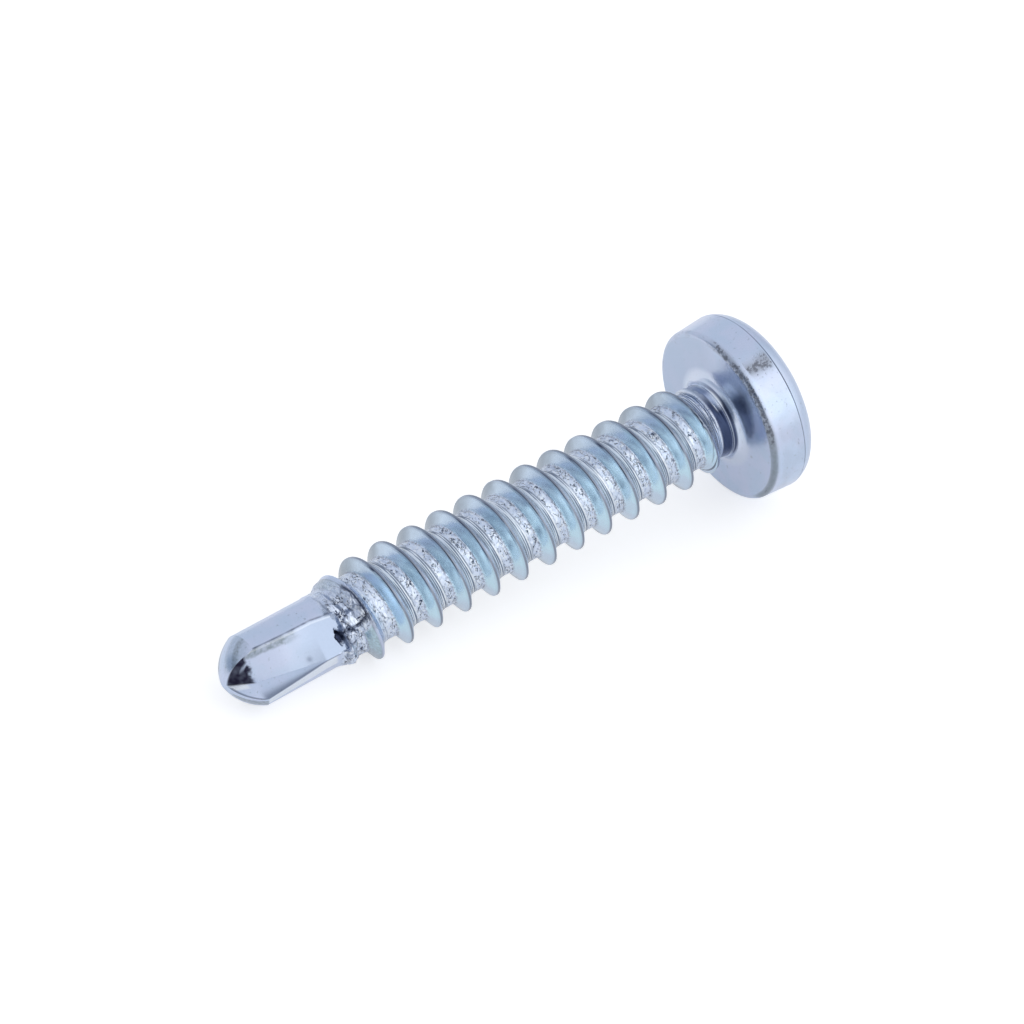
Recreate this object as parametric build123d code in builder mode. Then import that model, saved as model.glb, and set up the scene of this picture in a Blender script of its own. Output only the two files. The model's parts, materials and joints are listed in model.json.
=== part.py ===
"""Self-drilling screw, 4.2 x 25 mm, pan head with a cross recess, zinc plated steel.

The screw is one forged and rolled piece.  It is modelled upright in millimetres,
with the drill tip at the origin and its axis along +Z, and is then laid down as
it rests on a flat surface, with the head at the +X end.
"""

from build123d import *
import os
from math import atan2, ceil, cos, degrees, radians, sin, tan

# ---------------------------------------------------------------- driving sizes

# Rolled thread
thread_diameter = 4.19
root_diameter = 3.1
pitch = 1.4
crest_width = 0.1
flank_angle = 60.0            # between the two flanks
crest_offset = 0.353          # height of a crest over the X axis, within one pitch
thread_sink = 0.08            # the ridge reaches this far into the root
turns_in_a_sweep = 8
thread_start = 4.1            # the crest leaves the root here ...
thread_lift_diameter = 3.68   # ... has reached this ...
thread_lift_at = 5.65         # ... here ...
thread_full_from = 6.4        # ... and is whole from here
thread_full_to = 22.6
thread_end = 23.95

# Shank, neck and the flare under the head
length_under_head = 24.42     # tip to bearing face
neck_start = 23.5
neck_diameter = 3.26
flare_start = 24.02
flare_step = 0.06             # small step where the flare begins
flare_bend_diameter = 3.78    # where the flare's two cones meet
flare_bend_at = 24.25
flare_diameter = 4.2

# Pan head
bearing_flat_diameter = 7.25
bearing_edge_diameter = 7.8
bearing_edge_height = 0.24
bearing_bevel_diameter = 7.66 # where the edge's two bevels meet
bearing_bevel_height = 0.075
head_diameter = 8.0
head_side_height = 1.55       # bearing face to the forging line
shoulder_radius = 1.0
shoulder_lean = 80.0          # angle between the shoulder's start and the axis
shoulder_bevels = 3           # the rounded shoulder is this many short cones
dome_radius = 11.0

# Cross recess
recess_across = 4.4
recess_wing_width = 1.05
recess_floor_across = 1.7
recess_floor_wing_width = 0.85
recess_depth = 1.95
recess_core_diameter = 2.1
recess_point_depth = 0.35

# Forged drill point
drill_diameter = 3.07
drill_length = 4.95           # the flutes end here
point_height = 1.15           # tip to the outer corner of each lip
point_arc_radius = 2.2        # the end of each land is this convex
lip_turn = 60.0               # the lips lie along this direction
lip_relief = 3.0              # each land's end falls away behind its lip

# Flutes: a V section, with its root this far from the axis at the tip, this deep
# under the drill's surface at the lips, and almost run out here
flute_overrun = 0.3           # the section at the tip is set this far below it
web_radius = 0.208
lip_flute_depth = 0.835
flute_rise_to = 3.95
flute_rise_depth = 0.015
flute_clearance = 0.005       # the section at the flute's end has its root in the air

# Rest: this side of the screw faces the surface it lies on
resting_turn = 137.4

# ---------------------------------------------------------------- derived sizes

thread_radius = thread_diameter / 2
root_radius = root_diameter / 2
drill_radius = drill_diameter / 2
neck_radius = neck_diameter / 2
head_radius = head_diameter / 2
envelope_radius = thread_radius + crest_width
reach = 2 * thread_diameter   # well clear of the shank

# Height of each flute section, radius and turn of its root, and the directions of
# its heel wall and its rake wall
flute_stations = (
    (-flute_overrun, web_radius, 334.4, -53.5, 64.0),
    (point_height, drill_radius - lip_flute_depth, 49.0, -53.5, 70.0),
    (flute_rise_to, drill_radius - flute_rise_depth, 46.0, -78.0, 70.0),
    (drill_length, drill_radius + flute_clearance, 47.0, -75.0, 60.0),
)

# Depth, length and width of each section of the recess's two wings
recess_stations = (
    (0, recess_across, recess_wing_width),
    (recess_depth, recess_floor_across, recess_floor_wing_width),
)


def polar(radius, turn):
    """Point at a radius and an angle about the screw's axis."""
    return (radius * cos(radians(turn)), radius * sin(radians(turn)))


# ---------------------------------------------------------------- rolled thread

ridge_depth = thread_radius - root_radius + thread_sink
ridge_half_base = crest_width / 2 + ridge_depth * tan(radians(flank_angle / 2))
first_turn = int(thread_start / pitch) - 1
last_turn = int(thread_end / pitch) + 1

with BuildPart() as rolled_thread:
    with BuildSketch(Plane.XY.offset((first_turn - 1) * pitch)):
        Circle(root_radius)
    extrude(amount=(last_turn - first_turn + 3) * pitch)
    # The ridge is swept a few turns at a time, each sweep starting where one ended
    for turn in range(first_turn, last_turn, turns_in_a_sweep):
        turns = min(turns_in_a_sweep, last_turn - turn)
        start = crest_offset + turn * pitch
        with BuildLine() as crest_path:
            Helix(pitch, turns * pitch, root_radius, center=(0, 0, start))
        with BuildSketch(Plane((root_radius - thread_sink, 0, start), (1, 0, 0), (0, -1, 0))):
            with BuildLine():
                Polyline(
                    (0, -ridge_half_base),
                    (ridge_depth, -crest_width / 2),
                    (ridge_depth, crest_width / 2),
                    (0, ridge_half_base),
                    close=True,
                )
            make_face()
        sweep(path=crest_path.line, is_frenet=True)
    # The crest rises out of the root behind the drill and fades out before the neck
    with BuildSketch(Plane.XZ):
        with BuildLine():
            Polyline(
                (0, thread_start),
                (root_radius, thread_start),
                (thread_lift_diameter / 2, thread_lift_at),
                (envelope_radius, thread_full_from),
                (envelope_radius, thread_full_to),
                (root_radius, thread_end),
                (0, thread_end),
                close=True,
            )
        make_face()
    revolve(axis=Axis.Z, mode=Mode.INTERSECT)

# ---------------------------------------------------------------- forged blank

bearing_edge_top = length_under_head + bearing_edge_height
side_top = length_under_head + head_side_height
shoulder_centre = (
    head_radius - shoulder_radius * sin(radians(shoulder_lean)),
    side_top - shoulder_radius * cos(radians(shoulder_lean)),
)
dome_centre_height = shoulder_centre[1] - (
    (dome_radius - shoulder_radius) ** 2 - shoulder_centre[0] ** 2
) ** 0.5
dome_lean = degrees(atan2(shoulder_centre[0], shoulder_centre[1] - dome_centre_height))
head_top = dome_centre_height + dome_radius
shoulder_turn = shoulder_lean - dome_lean


def shoulder_point(lean):
    """Point of the head's profile where the shoulder leans this much from the axis."""
    return (
        shoulder_centre[0] + shoulder_radius * sin(radians(lean)),
        shoulder_centre[1] + shoulder_radius * cos(radians(lean)),
    )


with BuildPart() as forged_screw:
    with BuildSketch(Plane.XZ):
        with BuildLine():
            Polyline(
                (0, head_top),
                (0, 0),
                (drill_radius, 0),
                (drill_radius, drill_length),
                (root_radius, thread_full_from),
                (root_radius, neck_start),
                (neck_radius, flare_start),
                (neck_radius + flare_step, flare_start),
                (flare_bend_diameter / 2, flare_bend_at),
                (flare_diameter / 2, length_under_head),
                (bearing_flat_diameter / 2, length_under_head),
                (bearing_bevel_diameter / 2, length_under_head + bearing_bevel_height),
                (bearing_edge_diameter / 2, bearing_edge_top),
                *(
                    shoulder_point(shoulder_lean - step * shoulder_turn / shoulder_bevels)
                    for step in range(shoulder_bevels + 1)
                ),
            )
            CenterArc((0, dome_centre_height), dome_radius, 90 - dome_lean, dome_lean)
        make_face()
    revolve(axis=Axis.Z)
    add(rolled_thread.part)

    # Two flutes, half a turn apart, deepest at the tip and running out to nothing
    for half_turn in (0, 180):
        for height, root, root_turn, heel_wall_turn, rake_wall_turn in flute_stations:
            with BuildSketch(Plane((0, 0, height), polar(1, half_turn), (0, 0, 1))):
                root_point = Vector(*polar(root, root_turn))
                with BuildLine():
                    Polyline(
                        root_point,
                        root_point + Vector(*polar(reach, heel_wall_turn)),
                        root_point + Vector(*polar(reach, rake_wall_turn)),
                        close=True,
                    )
                make_face()
        loft(ruled=True, mode=Mode.SUBTRACT)

    # The end of each land is convex and falls away behind its lip
    for half_turn in (0, 180):
        lip = Vector(*polar(1, lip_turn + half_turn), 0)
        point_axis = Vector(0, 0, 1).rotate(Axis((0, 0, 0), lip), lip_relief)
        with BuildSketch(Plane((0, 0, 0), lip, lip.cross(point_axis))):
            with BuildLine():
                land_end = RadiusArc((0, 0), (drill_radius, point_height), -point_arc_radius)
                rim = Line(land_end @ 1, land_end @ 1 + land_end % 1 * lip_flute_depth)
                Polyline(rim @ 1, (reach, (rim @ 1).Y), (reach, -reach), (0, -reach), (0, 0))
            make_face()
        revolve(axis=Axis((0, 0, 0), point_axis), mode=Mode.SUBTRACT)

    # Cross recess: two tapered wings over a conical core with a pointed bottom
    for wing_turn in (0, 90):
        for depth, across, width in recess_stations:
            with BuildSketch(Plane((0, 0, head_top - depth), polar(1, wing_turn), (0, 0, 1))):
                Rectangle(across, width)
        loft(ruled=True, mode=Mode.SUBTRACT)
    with BuildSketch(Plane.XZ):
        with BuildLine():
            Polyline(
                (0, head_top),
                (recess_core_diameter / 2, head_top),
                (recess_floor_across / 2, head_top - recess_depth),
                (0, head_top - recess_depth - recess_point_depth),
                close=True,
            )
        make_face()
    revolve(axis=Axis.Z, mode=Mode.SUBTRACT)

# ---------------------------------------------------------------- laid at rest

# The bearing edge of the head touches the surface at one end, and at the other the
# first whole crest on the resting side does, or the drill if that is lower
turns_to_full = (thread_full_from - crest_offset) / pitch
first_crest = crest_offset + pitch * (
    resting_turn / 360 + ceil(turns_to_full - resting_turn / 360)
)
supports = (
    (thread_radius, first_crest - crest_width / 2),
    (drill_radius, point_height),
)
rest_tilt = min(
    atan2(bearing_edge_diameter / 2 - radius, bearing_edge_top - height)
    for radius, height in supports
)
screw_axis = Vector(cos(rest_tilt), 0, sin(rest_tilt))
downward = Vector(sin(rest_tilt), 0, -cos(rest_tilt))
across = downward.rotate(Axis((0, 0, 0), screw_axis), 90)
side_turn = radians(resting_turn)
turned_x = downward * cos(side_turn) - across * sin(side_turn)

# The origin is on the surface, under the middle of the lying screw
tip_at_origin = Plane((0, 0, 0), turned_x, screw_axis)
lying_box = tip_at_origin.from_local_coords(forged_screw.part).bounding_box()
under_middle = Vector(lying_box.center().X, lying_box.center().Y, lying_box.min.Z)

with BuildPart(Plane(-under_middle, turned_x, screw_axis)) as drilling_screw:
    add(forged_screw.part)

drilling_screw.part.label = "drilling_screw"
os.makedirs("parts", exist_ok=True)
export_step(drilling_screw.part, "parts/drilling_screw.step")
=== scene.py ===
"""Looks of a self-drilling screw, 4.2 x 25 mm, pan head, zinc plated and blue passivated.

The CAD node is one plain solid.  Here one detailed skin stands for it: the same
sizes, with the small radii, rolled laps, torn run-out and forging lines that such a
screw has, and masks that tell the finish where each of them lies and where
highlights and shade are painted into the colour.

Sizes of the screw are in millimetres, its heights are over the tip of the point, and
its turns are in degrees round the axis.
"""

from __future__ import annotations

import json
import logging
from dataclasses import dataclass, field
from enum import Enum
from math import atan2, cos, degrees, pi, radians, sin, sqrt
from typing import Union

import bpy
import numpy as np
from mathutils import Euler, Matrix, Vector, noise

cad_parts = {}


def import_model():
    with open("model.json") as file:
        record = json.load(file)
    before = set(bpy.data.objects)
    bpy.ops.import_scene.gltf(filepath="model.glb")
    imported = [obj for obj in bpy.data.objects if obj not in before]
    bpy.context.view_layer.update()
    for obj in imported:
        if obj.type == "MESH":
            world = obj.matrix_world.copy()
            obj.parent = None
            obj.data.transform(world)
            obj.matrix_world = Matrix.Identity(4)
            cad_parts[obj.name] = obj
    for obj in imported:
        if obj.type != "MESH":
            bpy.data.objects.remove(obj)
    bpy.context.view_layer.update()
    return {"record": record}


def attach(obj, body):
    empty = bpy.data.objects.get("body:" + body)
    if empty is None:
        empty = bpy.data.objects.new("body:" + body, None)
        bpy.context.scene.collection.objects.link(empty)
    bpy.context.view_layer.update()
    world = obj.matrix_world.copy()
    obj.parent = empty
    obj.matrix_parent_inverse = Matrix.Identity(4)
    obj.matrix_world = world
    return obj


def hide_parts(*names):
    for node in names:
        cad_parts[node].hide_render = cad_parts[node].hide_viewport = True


log = logging.getLogger("drilling_screw")

MM = 0.001
RESTING_TURN = 137.4
COLOUR_MIX_INPUTS = (0, 6, 7)
COLOUR_MIX_OUTPUT = 2

Amount = Union[float, np.ndarray]
Colour = tuple[float, float, float]
Socket = bpy.types.NodeSocket
Value = Union[Socket, float, tuple]


def smooth_step(low: float, high: float, value: np.ndarray) -> np.ndarray:
    """Rises smoothly from 0 at low to 1 at high."""
    share = np.clip((value - low) / (high - low), 0.0, 1.0)
    return share * share * (3.0 - 2.0 * share)


def between(start: Amount, end: Amount, share: Amount) -> Amount:
    """The value at a share of the way from start to end."""
    return start + (end - start) * share


def soft_max(first: Amount, second: Amount, radius: Amount) -> Amount:
    """The larger of two heights, with a fillet where they cross."""
    return 0.5 * (first + second + np.sqrt((first - second) ** 2 + radius**2))


def soft_min(first: Amount, second: Amount, radius: Amount) -> Amount:
    """The smaller of two heights, with a rounded edge where they cross."""
    return 0.5 * (first + second - np.sqrt((first - second) ** 2 + radius**2))


def turn_gap(turn: np.ndarray, centre: float) -> np.ndarray:
    """Angle in degrees from centre to turn, within half a turn either way."""
    return (turn - centre + 180.0) % 360.0 - 180.0


def steps(count: int) -> np.ndarray:
    """Even shares of a way, from the first step to 1 at its end."""
    return np.arange(1, count + 1) / count


def even_turns(columns: int) -> np.ndarray:
    """The turns of columns that are spread evenly round the axis."""
    return np.arange(columns) * 360.0 / columns


def rings(values: np.ndarray, columns: int) -> np.ndarray:
    """Repeats the value of each ring in all its columns."""
    return np.broadcast_to(np.reshape(values, (-1, 1)), (len(values), columns))


def round_the_axis(radius: np.ndarray, turn: np.ndarray, height: np.ndarray) -> np.ndarray:
    """Points at a radius, a turn and a height."""
    angle = np.radians(turn)
    return np.stack(np.broadcast_arrays(radius * np.cos(angle), radius * np.sin(angle), height), -1)


def raised(place: np.ndarray, height: np.ndarray) -> np.ndarray:
    """Points at places, x and y, and a height."""
    return np.concatenate([place, height[..., None]], -1)


@dataclass(frozen=True)
class Rise:
    """Goes smoothly from start at low to end at high."""

    low: float
    high: float
    start: float = 0.0
    end: float = 1.0

    def at(self, value: np.ndarray) -> np.ndarray:
        """How far it has come at each value."""
        return between(self.start, self.end, smooth_step(self.low, self.high, value))


@dataclass(frozen=True)
class Band:
    """Has its strength from low to high, and fades to 0 over an edge outside them."""

    low: float
    high: float
    edge: float
    strength: float = 1.0

    def at(self, value: np.ndarray) -> np.ndarray:
        """The band's strength at each value."""
        fall = 1.0 - smooth_step(self.high, self.high + self.edge, value)
        return self.strength * smooth_step(self.low - self.edge, self.low, value) * fall


@dataclass(frozen=True)
class Spot:
    """Has its strength at its centre, and fades over its width."""

    centre: float
    width: float
    strength: float = 1.0

    def at(self, value: np.ndarray) -> np.ndarray:
        """The spot's strength at each value."""
        return self.strength * np.exp(-(((value - self.centre) / self.width) ** 2))


@dataclass(frozen=True)
class Waves:
    """Smooth random heights.

    Attributes:
        scale: Waves per millimetre.
        octaves: How many finer layers are added.
        shift: Moves the pattern, so that two uses differ.
        height: About how high the waves are.
        stretch: How much closer they lie along the axis.
        fall: How fast the finer layers get lower.
        gap: How many times finer each layer is.
    """

    scale: float
    octaves: int
    shift: float
    height: float = 1.0
    stretch: float = 1.0
    fall: float = 1.0
    gap: float = 2.0

    def at(self, points: np.ndarray) -> np.ndarray:
        """Reads the waves.

        Args:
            points: Places, the last axis being x, y and z.

        Returns:
            One height for each point.
        """
        flat = (points * (1.0, 1.0, self.stretch)).reshape(-1, 3) * self.scale + self.shift
        heights = [
            noise.fractal(Vector(place), self.fall, self.gap, self.octaves)
            for place in flat.tolist()
        ]
        return self.height * np.array(heights).reshape(points.shape[:-1])


@dataclass(frozen=True)
class Plates:
    """Torn metal: flat plates at uneven heights, with cracks between them.

    Attributes:
        scale: Plates per millimetre.
        shift: Moves the pattern, so that two uses differ.
        stretch: How much closer they lie along the axis.
        lift: How far the plates stand out or in.
        sink: How deep the cracks are.
        narrow: How steeply the cracks go down.
        reach: How far from a plate's edge its crack reaches, in plates.
        seed: Draws the plates' heights.
    """

    scale: float
    shift: float
    stretch: float
    lift: float
    sink: float
    narrow: int
    reach: float = 0.22
    seed: float = 7.3

    def at(self, points: np.ndarray) -> tuple[np.ndarray, np.ndarray]:
        """Reads the plates.

        Args:
            points: Places, the last axis being x, y and z.

        Returns:
            The height at each point, and how far it is in a crack, 0 to 1.
        """
        flat = (points * (1.0, 1.0, self.stretch)).reshape(-1, 3) * self.scale + self.shift
        heights, cracks = [], []
        for place in flat.tolist():
            distances, cells = noise.voronoi(Vector(place))
            heights.append(noise.cell(cells[0] * self.seed))
            cracks.append(max(0.0, 1.0 - (distances[1] - distances[0]) / self.reach))
        shape = points.shape[:-1]
        crack = np.array(cracks).reshape(shape)
        height = self.lift * np.array(heights).reshape(shape) - self.sink * crack**self.narrow
        return height, crack


class Mask(Enum):
    """What a place on the skin is, and where light and shade are painted on it, as the finish reads
    it from the mesh.
    """

    ROOT = "root_band"
    CREST = "crest"
    EDGE = "crest_edge"
    LINED = "lined_flank"
    FLANK = "flank"
    TORN = "torn"
    # Real cracks, and painted shade where the thread's root meets the flank that faces the tip.
    CRACK = "crack"
    WORN = "worn_rim"
    FOLD = "fold_line"
    # Painted highlights.
    GLINT = "bright_edge"
    # Dull places, and painted shade in two strips on the drill point's end.
    DULL = "dull_band"
    # A painted dark reflection on the heel wall in the drill point's notch.
    SOOT = "soot"
    # Painted shade round the neck and on the flare, and a blue tint on the head's worn edge.
    NAVY = "navy_band"
    DRAWN = "drawn"
    # Painted shade towards the flutes' upper ends, on part of the bearing face and on the head's
    # shoulder.
    DEEP = "flute_end"


Masks = dict[Mask, np.ndarray]


@dataclass(frozen=True)
class ScrewAxes:
    """The screw's own axes in the row frame: millimetres, from the tip to the head."""

    tip: np.ndarray
    across: np.ndarray
    side: np.ndarray
    along: np.ndarray

    @classmethod
    def from_record(cls, record: dict, resting_turn: float) -> "ScrewAxes":
        """Reads the axes from the record.

        Args:
            record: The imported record, whose drill_point mount is at the tip.
            resting_turn: The side of the screw that faces down, in degrees.

        Returns:
            The axes of the lying screw.
        """
        point = next(m for m in record["mounts"] if m["name"] == "drill_point")
        along = -np.array(point["axis"], float)
        along /= np.linalg.norm(along)
        down = -np.array([0.0, 0.0, 1.0]) + along[2] * along
        down /= np.linalg.norm(down)
        turn = radians(resting_turn)
        across = down * cos(turn) - np.cross(along, down) * sin(turn)
        return cls(np.array(point["pos_m"]) / MM, across, np.cross(along, across), along)

    def to_row(self, points: np.ndarray) -> np.ndarray:
        """Turns points on the screw, in millimetres, to metres in the row frame."""
        turned = points @ np.stack([self.across, self.side, self.along])
        return (turned + self.tip) * MM


@dataclass
class Skin:
    """A mesh under construction: rings of points about the screw's axis, and masks.

    Attributes:
        columns: Points in each ring.
        sharp_angle: Edges that turn more than this, in degrees, stay sharp.
        points: The points of each part.
        masks: The values of each mask at them.
        lay: How far they are along the profile, for marks that run round it.
        faces: The faces of each part, as four point numbers.
        count: How many points there are.
    """

    columns: int = 168
    sharp_angle: float = 38.0
    points: list[np.ndarray] = field(default_factory=list)
    masks: dict[Mask, list[np.ndarray]] = field(default_factory=lambda: {m: [] for m in Mask})
    lay: list[np.ndarray] = field(default_factory=list)
    faces: list[np.ndarray] = field(default_factory=list)
    count: int = 0

    def add_points(self, points: np.ndarray, lay: np.ndarray, masks: Masks) -> np.ndarray:
        """Adds points to the skin.

        Args:
            points: Places in any number of rows.
            lay: How far each point is along the profile, for marks that run round it.
            masks: Values from 0 to 1 for the masks that hold here.

        Returns:
            The points' numbers in the mesh, in the same rows.
        """
        flat = points.reshape(-1, 3)
        numbers = np.arange(self.count, self.count + len(flat)).reshape(points.shape[:-1])
        self.count += len(flat)
        self.points.append(flat)
        self.lay.append(np.broadcast_to(lay, points.shape[:-1]).ravel())
        for mask in Mask:
            value = masks.get(mask, np.zeros(1))
            self.masks[mask].append(np.broadcast_to(value, points.shape[:-1]).ravel())
        return numbers

    def add_quads(self, *corners: np.ndarray) -> None:
        """Adds a face for each four point numbers."""
        self.faces.append(np.stack(corners, -1).reshape(-1, 4))

    def bridge(self, below: np.ndarray, rows: np.ndarray) -> np.ndarray:
        """Joins rows of points with faces, each to the next and round the axis.

        Args:
            below: The numbers of the ring that the first row is joined to.
            rows: The numbers of the rows.

        Returns:
            The numbers of the last row.
        """
        every = np.concatenate([np.reshape(below, (-1, rows.shape[1])), rows])
        low, high = every[:-1], every[1:]
        self.add_quads(low, np.roll(low, -1, 1), np.roll(high, -1, 1), high)
        return rows[-1]

    def close(self, ring: np.ndarray, height: float, upward: bool) -> None:
        """Closes a ring of points to one point on the axis.

        Args:
            ring: The numbers of the ring.
            height: The point's height.
            upward: Whether the ring closes the screw's top, and not its tip.
        """
        point = self.add_points(np.array([[0.0, 0.0, height]]), np.zeros(1), {})
        after, pole = np.roll(ring, -1), np.full_like(ring, point[0])
        if upward:
            self.add_quads(ring, after, pole, pole)
        else:
            self.add_quads(pole, pole, after, ring)

    def whole_faces(self) -> list[list[int]]:
        """The faces, without corners that fall together.

        Returns:
            The corners of each face that has at least three left.
        """
        faces = []
        for quad in np.concatenate(self.faces).tolist():
            corners = [number for index, number in enumerate(quad) if number != quad[index - 1]]
            if len(corners) > 2 and len(set(corners)) == len(corners):
                faces.append(corners)
        return faces

    def to_object(self, name: str, axes: ScrewAxes) -> bpy.types.Object:
        """Builds the Blender mesh.

        Args:
            name: The object's name.
            axes: The lying screw's axes.

        Returns:
            The object, linked to the scene.
        """
        faces = self.whole_faces()
        used = np.zeros(self.count, bool)
        used[[number for face in faces for number in face]] = True
        renumbered = (np.cumsum(used) - 1).tolist()
        points = np.concatenate(self.points)[used]
        mesh = bpy.data.meshes.new(name)
        mesh.from_pydata(
            axes.to_row(points).tolist(), [], [[renumbered[n] for n in face] for face in faces]
        )
        for mask, rows in self.masks.items():
            layer = mesh.attributes.new(mask.value, "FLOAT", "POINT")
            layer.data.foreach_set("value", np.concatenate(rows)[used].astype(np.float32))
        turn = np.arctan2(points[:, 1], points[:, 0])
        grain = np.stack([np.cos(turn), np.sin(turn), np.concatenate(self.lay)[used]], -1)
        layer = mesh.attributes.new("grain", "FLOAT_VECTOR", "POINT")
        layer.data.foreach_set("vector", grain.astype(np.float32).ravel())
        mesh.validate()
        mesh.shade_smooth()
        mesh.set_sharp_from_angle(angle=radians(self.sharp_angle))
        skin = bpy.data.objects.new(name, mesh)
        bpy.context.scene.collection.objects.link(skin)
        return skin


@dataclass
class DrillPoint:
    """The forged drill point: two lands, two V flutes and the end that cuts.

    Each station holds a height, the distance and the turn of the flute's root, and the
    turns of the ways in which its heel wall and its rake wall run out from there.
    """

    radius: float = 1.535
    point_height: float = 1.15
    arc_radius: float = 2.2
    lip_turn: float = 60.0
    lip_relief: float = 3.0
    flute_end: float = 4.95
    top: float = 4.1
    reach: float = 8.38
    stations: tuple[tuple[float, float, float, float, float], ...] = (
        (-0.3, 0.208, 334.4, -53.5, 64.0),
        (1.15, 0.70, 49.0, -53.5, 70.0),
        (3.95, 1.52, 46.0, -78.0, 70.0),
        (4.95, 1.54, 47.0, -75.0, 60.0),
    )
    heel_columns: int = 30
    rake_columns: int = 14
    first_heel: int = -10
    nose_rows: int = 22
    nose_crowding: float = 1.1
    rows: int = 56
    nose_tries: int = 24
    nose_pull: float = 0.8
    rim_tries: int = 40
    rim_guess: float = 0.6
    lip_line: Band = Band(0.14, 0.96, 0.05)
    lip_shades: tuple[float, float, float] = (0.56, 0.8, 0.7)
    first_land: float = -50.0
    # Painted shade in two strips across the first land's curved end.
    wide_shade_strip: Band = Band(0.46, 1.20, 0.12, 0.28)
    wide_shade_side: Rise = Rise(-0.45, -0.2, 1.0, 0.0)
    narrow_shade_strip: Band = Band(0.84, 0.98, 0.07, 0.55)
    narrow_shade_side: Band = Band(-1.15, -0.35, 0.2)
    dull_rim: Band = Band(67.0, 84.0, 4.0, 0.8)
    dull_rim_out: Rise = Rise(0.35, 0.7)
    wander: Waves = Waves(3.0, 2, 7.0)
    fine: Waves = Waves(11.0, 2, 29.0, 0.10)
    patches: Waves = Waves(5.0, 2, 23.0, 0.12)
    fluted: Band = Band(1.2, 4.75, 0.12)
    heel_fold: Spot = Spot(0.0, 0.62)
    heel_fold_shade: tuple[float, float] = (0.75, 0.5)
    # A painted highlight line beside the heel edge.
    heel_glint: Spot = Spot(1.7, 0.6, 0.5)
    margin_fold: Spot = Spot(0.5, 4.5, 0.75)
    margin_height: Band = Band(1.15, 4.5, 0.15)
    dent_height: Spot = Spot(3.34, 0.10, 0.55)
    dent_heel: Spot = Spot(0.85, 0.07)
    # A painted highlight on the rake wall under the notch.
    lip_highlight: Band = Band(0.02, 0.2, 0.06)
    lip_highlight_height: Rise = Rise(0.7, 0.9, 1.0, 0.0)
    # A painted highlight strip on the land by the margin.
    land_highlight: Band = Band(0.8, 6.0, 0.8, 0.8)
    land_highlight_height: Band = Band(1.3, 4.3, 0.2)
    scuff: Band = Band(0.07, 0.20, 0.09)
    scuff_height: Band = Band(1.15, 2.6, 0.9)
    scuff_wander: float = 0.05
    scuff_shade: tuple[float, float] = (0.75, 0.6)
    # Where the painted dark reflection in the notch is left out: a streak and the outer corner.
    streak: Spot = Spot(0.71, 0.05)
    streak_from: float = 0.7
    streak_slope: float = 1.1
    streak_height: Rise = Rise(0.62, 0.85)
    corner_out: Rise = Rise(1.02, 1.2)
    corner_height: Rise = Rise(0.92, 1.02)
    # The painted dark reflection in the notch: up to which height, how ragged and how strong.
    notch_shade_height: Rise = Rise(0.98, 1.14, 1.0, 0.0)
    notch_shade_wander: float = 0.10
    notch_shade_strength: float = 0.97
    notch_shade_gaps: float = 0.85
    flute_heel: float = 0.02
    flute_rake: float = 0.98
    # Painted shade towards the flutes' upper ends.
    flute_shade_height: Rise = Rise(2.4, 4.1)

    def wall(self, kind: int, height: np.ndarray) -> np.ndarray:
        """A line of the first flute's walls at each height.

        Args:
            kind: 0 for the flute's root, 1 for a place out along the heel wall, 2 for
                one out along the rake wall.
            height: Heights, in rows of columns.

        Returns:
            x and y at each height.
        """
        places = []
        for _, root, root_turn, *ways in self.stations:
            place = np.array([cos(radians(root_turn)), sin(radians(root_turn))]) * root
            if kind:
                turn = radians(ways[kind - 1])
                place = place + self.reach * np.array([cos(turn), sin(turn)])
            places.append(place)
        levels = [station[0] for station in self.stations]
        return np.stack([np.interp(height, levels, way) for way in np.transpose(places)], -1)

    def on_surface(self, start: np.ndarray, way: np.ndarray, far: bool) -> np.ndarray:
        """Where a wall's line crosses the drill's round surface.

        Args:
            start: Where each line starts, as x and y.
            way: The way it runs.
            far: Whether the far crossing is meant, and not the near one.

        Returns:
            x and y of the crossings.
        """
        a = (way**2).sum(-1)
        b = (start * way).sum(-1)
        c = (start**2).sum(-1) - self.radius**2
        gap = np.sqrt(np.maximum(b * b - a * c, 0.0))
        share = (-b + gap) / a if far else np.maximum((-b - gap) / a, 0.0)
        return start + way * share[..., None]

    def corners(self, height: np.ndarray) -> tuple[np.ndarray, np.ndarray, np.ndarray]:
        """Corners of the first flute's section at each height.

        Args:
            height: Heights, in rows of columns.

        Returns:
            The heel edge, the flute's root and the margin edge, each as x and y.
        """
        root, heel, rake = (self.wall(kind, height) for kind in range(3))
        outside = ((root**2).sum(-1) > self.radius**2)[..., None]
        heel_edge = self.on_surface(root, heel - root, True)
        floor = np.where(outside, self.on_surface(root, heel - root, False), root)
        margin = np.where(outside, floor, self.on_surface(root, rake - root, True))
        return heel_edge, floor, margin

    def section(self, height: np.ndarray, columns: int) -> np.ndarray:
        """The drill's section at each height.

        Args:
            height: Heights, in rows of columns.
            columns: Columns in a turn.

        Returns:
            x and y of each column at its own height.
        """
        heel, floor, margin = self.corners(height)
        half = columns // 2
        rake_end = self.heel_columns + self.rake_columns
        number, second = np.divmod(np.arange(columns) - self.first_heel, half)[::-1]
        on_heel = number <= self.heel_columns
        on_rake = ~on_heel & (number <= rake_end)
        heel_share = np.clip(number / self.heel_columns, 0, 1)[:, None]
        rake_share = np.clip((number - self.heel_columns) / self.rake_columns, 0, 1)[:, None]
        land_share = np.clip((number - rake_end) / (half - rake_end), 0, 1)
        start = np.arctan2(margin[..., 1], margin[..., 0])
        end = np.arctan2(heel[..., 1], heel[..., 0]) + pi
        angle = between(start, end, land_share)
        land = np.stack([np.cos(angle), np.sin(angle)], -1) * self.radius
        place = np.where(on_heel[:, None], between(heel, floor, heel_share), land)
        place = np.where(on_rake[:, None], between(floor, margin, rake_share), place)
        return np.where((second % 2 == 1)[:, None], -place, place)

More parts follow.
